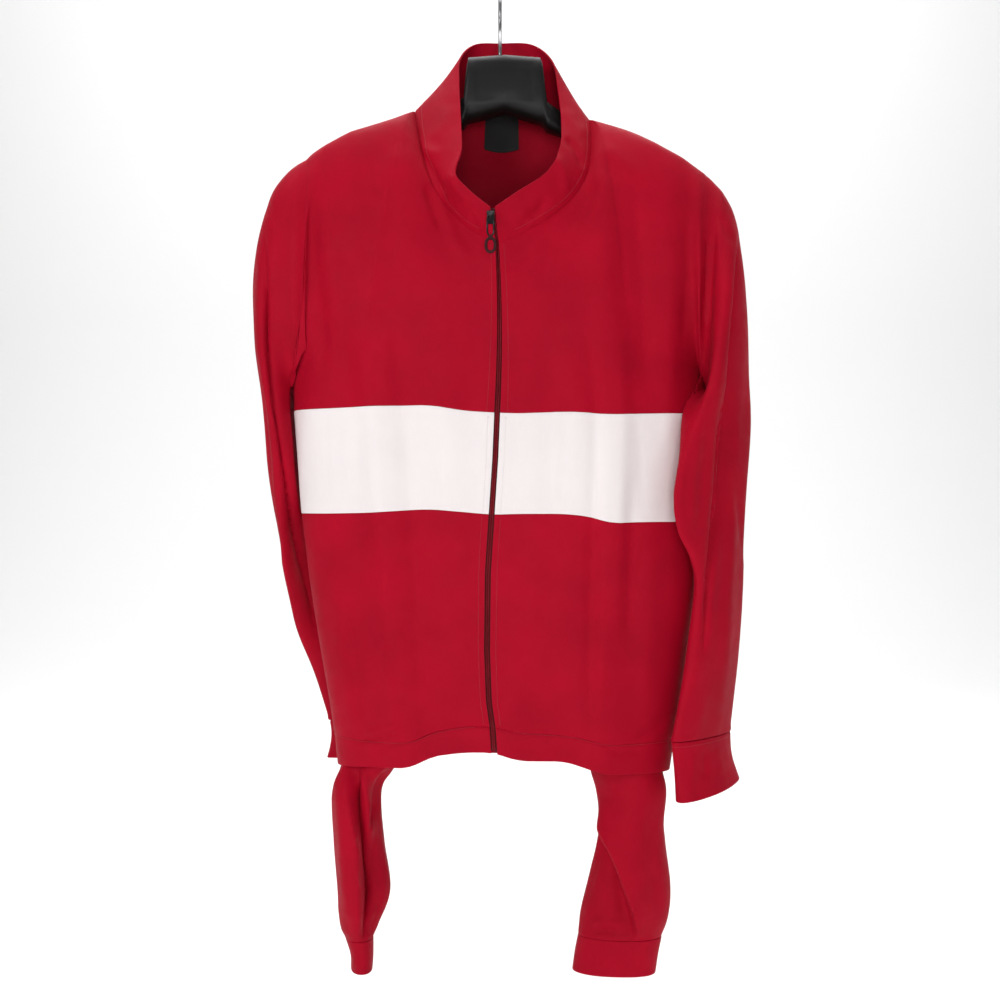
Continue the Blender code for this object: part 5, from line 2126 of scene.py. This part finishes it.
@dataclass
class Hanger:
    """The moulded hanger, its bar for the trousers and its wire hook.

    Args:
        roundness: how square its sections are.
        bar_height: the height of the bar's axis, in millimetres.
        bar_radius: the bar's radius.
        bar_ends: where the bar's two upright ends stand.
        wire_radius: the hook's wire radius.
        hook_radius: the radius of the hook's bend.
        recess: the panel sunk into the block: its left, right, foot and top.
        recess_depth: how deep the panel lies.
        recess_side: how wide its sloping sides are.
        face: how far up the rounded section the block's face reaches, as a share.
        groove: the depth and the width of the groove along each arm.
        groove_start: how far outside the panel the grooves start.
    """

    roundness: float = 3.2
    bar_height: float = -245.0
    bar_radius: float = 4.0
    bar_ends: Point = (-196.0, 206.0)
    wire_radius: float = 2.0
    hook_radius: float = 22.0
    recess: tuple[float, float, float, float] = (-30.0, 40.0, -122.0, -75.0)
    recess_depth: float = 0.7
    recess_side: float = 5.0
    face: float = 0.93
    groove: Point = (0.9, 4.5)
    groove_start: float = 24

    def section(self, share: float) -> list[float]:
        """The body's section at a share of its length: across, top, foot and half depth."""
        left, right = HANGER[0][0], HANGER[-1][0]
        return look_up(HANGER, blend(left, right, share))

    def body_point(self, angle: float, share: float) -> Vector:
        """A point of the moulded body's skin."""
        across, top, foot, depth = self.section(share)
        along, up = oval(angle, self.roundness)
        y, z = depth * along, (top + foot) / 2 + (top - foot) / 2 * up
        left, right, low, high = self.recess
        inside = min(across - left, right - across, z - low, high - z)
        if abs(up) < self.face and inside > 0:
            y -= math.copysign(self.recess_depth * smooth_step(inside / self.recess_side), y)
        if not left - self.groove_start <= across <= right + self.groove_start and abs(y) > 3:
            y -= math.copysign(self.groove[0] * bell(z, (top + foot) / 2, self.groove[1]), y)
        return Vector((across, y, z))

    def build_body(self) -> None:
        """Lofts the moulded body along its sections, and closes its two tips."""
        sides, steps = 56, 170
        clear_selection()
        bpy.ops.mesh.primitive_grid_add(x_subdivisions=sides, y_subdivisions=steps, size=1)
        piece = bpy.context.object
        for vertex in piece.data.vertices:
            turn = round((vertex.co.x + 0.5) * sides) % sides
            angle = 2 * math.pi * (turn + 0.5) / sides
            vertex.co = self.body_point(angle, vertex.co.y + 0.5) * MM
        with editing():
            bpy.ops.mesh.remove_doubles(threshold=WELD)
            bpy.ops.mesh.select_all(action="DESELECT")
            bpy.ops.mesh.select_non_manifold()
            bpy.ops.mesh.edge_face_add()
            bpy.ops.mesh.select_all(action="SELECT")
            bpy.ops.mesh.fill_holes(sides=0)
            bpy.ops.mesh.normals_make_consistent(inside=False)
        piece = settle(piece, "hanger_body_moulding", Finish.HANGER, 38)
        stand_for(piece, "suit", "hanger_plastic", "hanger_body")

    def build_bar(self) -> None:
        """Builds the bar and its two upright ends."""
        left, right = self.bar_ends
        left_top = look_up(HANGER, left - self.bar_radius)[2] - SEAM_GAP
        right_top = look_up(HANGER, right + self.bar_radius)[2] - SEAM_GAP
        low, bend = self.bar_height, 6.0
        near, half = bend * 0.12, bend * 0.5
        corners = [
            [(left, left_top), (left, low + 2 * bend), (left, low + bend)],
            [(left + near, low + half), (left + half, low + near), (left + bend, low)],
            [(left + 3 * bend, low), (0, low), (right - 3 * bend, low), (right - bend, low)],
            [(right - half, low + near), (right - near, low + half), (right, low + bend)],
            [(right, low + 2 * bend), (right, right_top)],
        ]
        route = [Vector((x, 0, z)) for group in corners for x, z in group]
        piece = wire("trouser_bar_moulding", Finish.HANGER, route, self.bar_radius)
        stand_for(piece, "suit", "hanger_plastic", "trouser_bar")

    def build_hook(self) -> None:
        """Bends the hook: up its shank, over its crown and down to its tip."""
        crown = self.wire_radius - self.hook_radius
        foot = self.section((0 - HANGER[0][0]) / (HANGER[-1][0] - HANGER[0][0]))[1] - 1.0
        route = [Vector((0, 0, foot)), Vector((0, 0.4, foot + 8)), Vector((0, 1, -50))]
        turn_start, turn_end, steps = -48, 205, 48
        for step in range(steps + 1):
            angle = math.radians(blend(turn_start, turn_end, step / steps))
            y, z = self.hook_radius * math.cos(angle), self.hook_radius * math.sin(angle)
            route.append(Vector((0, y, crown + z)))
        piece = wire("hook_wire", Finish.HOOK, route, self.wire_radius)
        stand_for(piece, "suit", "hook_wire", "hook")

    def build(self) -> None:
        """Builds the whole hanger."""
        self.build_body()
        self.build_bar()
        self.build_hook()


@dataclass
class Zip:
    """The closed zip: two tapes, their coils, the slider with its bail and loop.

    Args:
        tape_width: how much of each tape shows behind the fronts' edges, in millimetres.
        pitch: the distance between two teeth on one side.
        coil_middle: how far a coil's middle lies from the zip's middle.
        slider_place: the slider's middle.
        slider_lean: how far it leans back with the collar, in degrees.
        pull_axis: where the bail hangs from the slider.
        bail_size: the bail's width and height.
        loop_size: the loop's width and height.
        wire_radius: the bail's wire radius.
        loop_radius: the loop's radius.
        length: the tapes' length.
        tape_depths: how far the tapes lie behind the fronts' faces, at the hem and at the collar.
        deepens: the share of the zip's length at which they reach the second depth.
        tooth_size: a coil's turn, as a share of the pitch along and in millimetres across and up.
        eye_size: the radius and the length of the eye between the bail and the loop.
        eye_drop: how far its middle lies below the bail's foot.
    """

    tape_width: float = 9.0
    pitch: float = 1.5
    coil_middle: float = 1.15
    slider_place: Triple = (-10.0, -101.2, -268.0)
    slider_lean: float = 33.0
    pull_axis: Triple = (-10.0, -106.7, -266.0)
    bail_size: Point = (7.0, 22.5)
    loop_size: Point = (9.6, 14.5)
    wire_radius: float = 1.0
    loop_radius: float = 1.6
    length: float = 590.0
    tape_depths: Point = (3.3, 5.2)
    deepens: float = 0.9
    tooth_size: Triple = (0.92, 2.5, 1.7)
    eye_size: Point = (2.0, 4.4)
    eye_drop: float = 0.9

    def behind(self, height: float) -> float:
        """How far the tape lies behind the fronts' outer faces, at a share of the zip's length."""
        return blend(*self.tape_depths, min(height / self.deepens, 1) ** 8)

    def middle(self, height: float) -> tuple[Vector, Vector, Vector]:
        """The zip's middle at a share of its length: the point, the way up and the way out."""
        step = 0.005
        low, high = (zip_edge(Side.LEFT, at) for at in (max(height - step, 0), min(height + step, 1)))
        along = (high - low).normalized()
        left, right = zip_edge(Side.LEFT, height), zip_edge(Side.RIGHT, height)
        return (left + right) / 2, along, Vector((0, -along.z, along.y)).normalized()

    def tape_place(self, side: Side) -> Place:
        """The shape of one tape."""

        def place(share: float, rise: float) -> Vector:
            """A point of the tape."""
            height = blend(0.005, 0.995, rise)
            middle, _, out = self.middle(height)
            beside = SEAM_GAP + self.tape_width * share
            point = zip_edge(side, height, max(beside - ZIP_OPENING / 2, 0))
            point = point - out * self.behind(height)
            point.x = middle.x + side.sign * beside
            return point

        return place

    def tooth(self) -> Piece:
        """One turn of the coil, as a small rounded block."""
        clear_selection()
        bpy.ops.mesh.primitive_uv_sphere_add(segments=6, ring_count=5, radius=0.5)
        piece = bpy.context.object
        with editing():
            along, across, up = self.tooth_size
            bpy.ops.transform.resize(value=(self.pitch * along * MM, across * MM, up * MM),
                                     center_override=(0, 0, 0))
        return piece

    def build_tapes(self) -> None:
        """Builds both tapes and both coils."""
        for side in Side:
            name = side.value
            tape = Cloth(f"zip_tape_{name}_cloth", self.tape_place(side), self.tape_width,
                         self.length, Finish.TAPE, (0, -1, 0), wall=0.9, step=2.2, seams=(False,) * 4,
                         swell=0).build()
            stand_for(tape, "suit", "zip_tape", f"zip_tape_{name}")
            count = int(self.length / self.pitch) - 2
            frames = []
            for index in range(count):
                height = blend(0.008, 0.992, (index + (0.5 if side is Side.LEFT else 0)) / count)
                middle, along, out = self.middle(height)
                place = middle - out * (self.behind(height) - 1.0)
                place.x += side.sign * self.coil_middle
                frames.append((place, along, out))
            coil = Seeds(f"zip_coil_{name}", Finish.TEETH, self.tooth(), frames).build()
            stand_for(coil, "suit", "zip_tape")

    def build_slider(self) -> None:
        """Builds the slider: two waisted plates, the wedge between them and the bridge on top."""
        parts = (
            ((8.5, 1.6, 14.0), (0.0, -1.7, 0.0), 0.5),
            ((7.6, 1.2, 13.0), (0.0, 1.9, 0.0), 0.4),
            ((2.4, 4.0, 4.0), (0.0, 0.0, 3.6), 0.4),
            ((2.6, 1.2, 1.4), (0.0, -3.0, 4.6), 0.3),
            ((2.6, 1.2, 1.4), (0.0, -3.0, -2.4), 0.3),
            ((2.6, 1.0, 8.4), (0.0, -3.9, 1.1), 0.4),
        )
        pieces = []
        for size, place, edge in parts:
            clear_selection()
            bpy.ops.mesh.primitive_cube_add(size=1, location=tuple(v * MM for v in place))
            piece = bpy.context.object
            with editing():
                bpy.ops.transform.resize(value=tuple(v * MM for v in size))
                bpy.ops.mesh.subdivide(number_cuts=2)
            if size[0] > PLATE_WIDTH:
                self.waist(piece, size)
            bevel(piece, edge, 3, 50)
            pieces.append(piece)
        clear_selection()
        for piece in pieces:
            piece.select_set(True)
        bpy.context.view_layer.objects.active = pieces[0]
        bpy.ops.object.join()
        slider = bpy.context.object
        slider.location = Vector(self.slider_place) * MM
        slider.data.transform(Matrix.Translation(Vector(parts[0][1]) * MM))
        slider.rotation_euler = (math.radians(self.slider_lean), 0, 0)
        settle(slider, "zip_slider_body", Finish.SLIDER, 40)
        stand_for(slider, "suit", "dark_metal", "zip_slider")

    def waist(self, piece: Piece, size: Triple) -> None:
        """Draws a plate in towards its foot, where the closed coil leaves it."""
        for vertex in piece.data.vertices:
            down = min(max(0.5 - vertex.co.z / (size[2] * MM), 0), 1)
            vertex.co.x *= 1 - PLATE_WAIST * down ** 1.5

    def ring(self, top: float, size: Point, roundness: float, steps: int) -> list[Vector]:
        """The axis of an upright ring that hangs from a height.

        Args:
            top: the height of its top.
            size: its width and height.
            roundness: 2 for an oval, more for squarer corners.
            steps: how many points it has.

        Returns:
            The ring's points.
        """
        x, y, _ = self.pull_axis
        route = []
        for step in range(steps):
            across, up = oval(2 * math.pi * step / steps, roundness)
            route.append(Vector((x + size[0] / 2 * across, y, top - size[1] / 2 * (1 - up))))
        return route

    def build_pull(self) -> None:
        """Builds the wire bail and the moulded loop that hangs from it."""
        top = self.pull_axis[2]
        bail = wire("pull_bail_wire", Finish.SLIDER, self.ring(top, self.bail_size, 3.4, 64),
                    self.wire_radius, closed=True)
        stand_for(bail, "zip_pull", "dark_metal", "pull_bail")
        gap = self.wire_radius + SEAM_GAP + self.loop_radius
        loop_top = top - self.bail_size[1] - gap
        loop = wire("pull_loop_moulding", Finish.PULL, self.ring(loop_top, self.loop_size, 2.3, 64),
                    self.loop_radius, closed=True, sides=5)
        stand_for(loop, "zip_pull", "pull_plastic", "pull_loop")
        self.build_eye(top - self.bail_size[1])

    def build_eye(self, height: float) -> None:
        """Builds the moulded eye that holds the loop to the bail's foot."""
        x, y, _ = self.pull_axis
        radius, length = self.eye_size
        clear_selection()
        bpy.ops.mesh.primitive_cylinder_add(vertices=24, radius=radius * MM, depth=length * MM,
                                            location=(x * MM, y * MM, (height - self.eye_drop) * MM),
                                            rotation=(0, math.pi / 2, 0))
        piece = bpy.context.object
        bevel(piece, 0.7, 4, 50)
        settle(piece, "pull_eye", Finish.PULL)
        stand_for(piece, "zip_pull", "pull_plastic")

    def build(self) -> None:
        """Builds the whole zip."""
        self.build_tapes()
        self.build_slider()
        self.build_pull()


@dataclass
class Label:
    """The plain woven label at the back of the neck.

    Args:
        width: its width, in millimetres.
        height: its height.
        drop: how far it starts below the collar's seam.
        back_width: the back's width that its share across is counted on.
        inside: how far inside the back it lies.
    """

    width: float = 40.0
    height: float = 44.0
    drop: float = 3.0
    back_width: float = 760.0
    inside: float = 2.6

    def place(self, share: float, rise: float) -> Vector:
        """A point of the label, just inside the back."""
        up = 1 - (self.drop + self.height * (1 - rise)) / CHEST_HEIGHT
        across = 0.5 + (share - 0.5) * self.width / self.back_width
        point, below = yoke_point(across, up), yoke_point(across, up - 0.02)
        along = (point - below).normalized()
        return point + Vector((0, -along.z, along.y)) * self.inside

    def build(self) -> None:
        """Builds the label and the stitches along its top and its foot."""
        label = Cloth("label_cloth", self.place, self.width, self.height, Finish.LABEL, (0, -1, 0),
                      wall=0.5, step=2.0, seams=(False,) * 4, swell=0.25).build()
        stand_for(label, "suit", "label_cloth", "label")
        for name, rise in (("top", 0.955), ("foot", 0.045)):
            route = on_cloth(self.place, [(0.04 + 0.92 * step / 20, rise) for step in range(21)],
                             (0, -1, 0), (), 0.2, 0.25)
            stand_for(stitches(f"label_stitch_{name}", Finish.LABEL_EDGE, route, 2.0, 0.35, 0.6),
                      "suit", "label_cloth")


@dataclass
class Studio:
    """The plain backdrop, the soft lights and the camera.

    Args:
        camera_place: the camera's place, in metres.
        lens: its focal length in millimetres, on the sensor's width.
        sensor: the sensor's width in millimetres.
        floor: the floor's height, in metres.
        ambience: the strength of the even light from all round.
        lights: name, place, side and power in watts of each light, and the point that it looks at.
    """

    camera_place: Triple = (0.0, -1.5, -0.567)
    lens: float = 47.66
    sensor: float = 36.0
    floor: float = -1.25
    ambience: float = 0.21
    lights: tuple[tuple[str, Triple, float, float, Triple], ...] = (
        ("key", (-1.5, -2.0, 0.1), 0.9, 21, JACKET_MIDDLE),
        ("front", (0.15, -2.5, -0.5), 0.8, 16, JACKET_MIDDLE),
        ("fill", (2.0, -1.6, -0.3), 1.8, 5, JACKET_MIDDLE),
        ("top", (0.0, -0.9, 1.3), 1.0, 3, JACKET_MIDDLE),
        ("behind", (0.3, 2.4, 0.8), 2.2, 10, JACKET_MIDDLE),
        ("backdrop", (0.0, 1.4, 3.2), 4.0, 205, (0.0, 2.8, -1.25)),
    )

    def build_camera(self) -> None:
        """Sets up the camera at the photograph's angle."""
        data = bpy.data.cameras.new("camera")
        data.sensor_width = self.sensor
        data.lens = self.lens
        data.clip_end = 60
        camera = bpy.data.objects.new("camera", data)
        camera.location = self.camera_place
        camera.rotation_euler = (math.radians(90), 0, 0)
        bpy.context.scene.collection.objects.link(camera)
        bpy.context.scene.camera = camera

    def light(self, name: str, place: Triple, size: float, power: float, aim: Triple) -> None:
        """Adds one soft square light.

        Args:
            name: the light's name.
            place: where it stands, in metres.
            size: its side.
            power: its power in watts.
            aim: the point that it looks at.
        """
        data = bpy.data.lights.new(name, "AREA")
        data.size = size
        data.energy = power
        lamp = bpy.data.objects.new(name, data)
        lamp.location = place
        way = Vector(aim) - Vector(place)
        lamp.rotation_euler = way.to_track_quat("-Z", "Y").to_euler()
        bpy.context.scene.collection.objects.link(lamp)

    def build_backdrop(self) -> None:
        """Builds the floor and the backdrop as one sheet that curves up behind the suit."""
        clear_selection()
        bpy.ops.mesh.primitive_plane_add(size=1)
        piece = bpy.context.object
        with editing():
            bpy.ops.transform.resize(value=(24, 12, 1), center_override=(0, 0, 0))
            bpy.ops.transform.translate(value=(0, -3.0, self.floor))
        bm = bmesh.new()
        bm.from_mesh(piece.data)
        foot, radius, steps = 3.0, 1.5, 10
        back = [edge for edge in bm.edges if all(v.co.y > foot - 0.1 for v in edge.verts)]
        for step in range(1, steps + 1):
            angle = math.pi / 2 * step / steps
            grown = bmesh.ops.extrude_edge_only(bm, edges=back)["geom"]
            y, z = foot + radius * math.sin(angle), self.floor + radius * (1 - math.cos(angle))
            for vertex in (item for item in grown if isinstance(item, bmesh.types.BMVert)):
                vertex.co.y, vertex.co.z = y, z
            back = [item for item in grown if isinstance(item, bmesh.types.BMEdge)]
        grown = bmesh.ops.extrude_edge_only(bm, edges=back)["geom"]
        for vertex in (item for item in grown if isinstance(item, bmesh.types.BMVert)):
            vertex.co.z += 8
        bm.to_mesh(piece.data)
        bm.free()
        settle(piece, "backdrop", Finish.BACKDROP, 60)

    def build(self) -> None:
        """Builds the studio."""
        self.build_camera()
        self.build_backdrop()
        for name, place, size, power, aim in self.lights:
            self.light(name, place, size, power, aim)
        bpy.context.scene.view_settings.view_transform = "Standard"
        world = bpy.data.worlds.new("studio")
        world.use_nodes = True
        background = world.node_tree.nodes["Background"]
        background.inputs["Color"].default_value = (1.0, 1.0, 1.0, 1)
        background.inputs["Strength"].default_value = self.ambience
        bpy.context.scene.world = world


def main() -> None:
    """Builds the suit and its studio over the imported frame."""
    logging.basicConfig(level=logging.INFO, format="%(message)s")
    Studio().build()
    Hanger().build()
    Jacket().build()
    Collar().build()
    Sleeve(Side.LEFT, 0.25, 0.67, (0.21, 0.046), LEFT_SLEEVE_CREASES, LEFT_CUFF_CREASES).build()
    Sleeve(Side.RIGHT, 0.23, 0.66, (0.25, 0.058), RIGHT_SLEEVE_CREASES, RIGHT_CUFF_CREASES).build()
    Leg(Side.LEFT, 0.265, 0.72, (0.12, 0.037), LEFT_LEG_CREASES, LEG_CUFF_CREASES).build()
    Leg(Side.RIGHT, 0.283, 0.72, (0.242, 0.04), RIGHT_LEG_CREASES, LEG_CUFF_CREASES).build()
    Seat().build()
    Zip().build()
    Label().build()


if __name__ == "__main__":
    main()
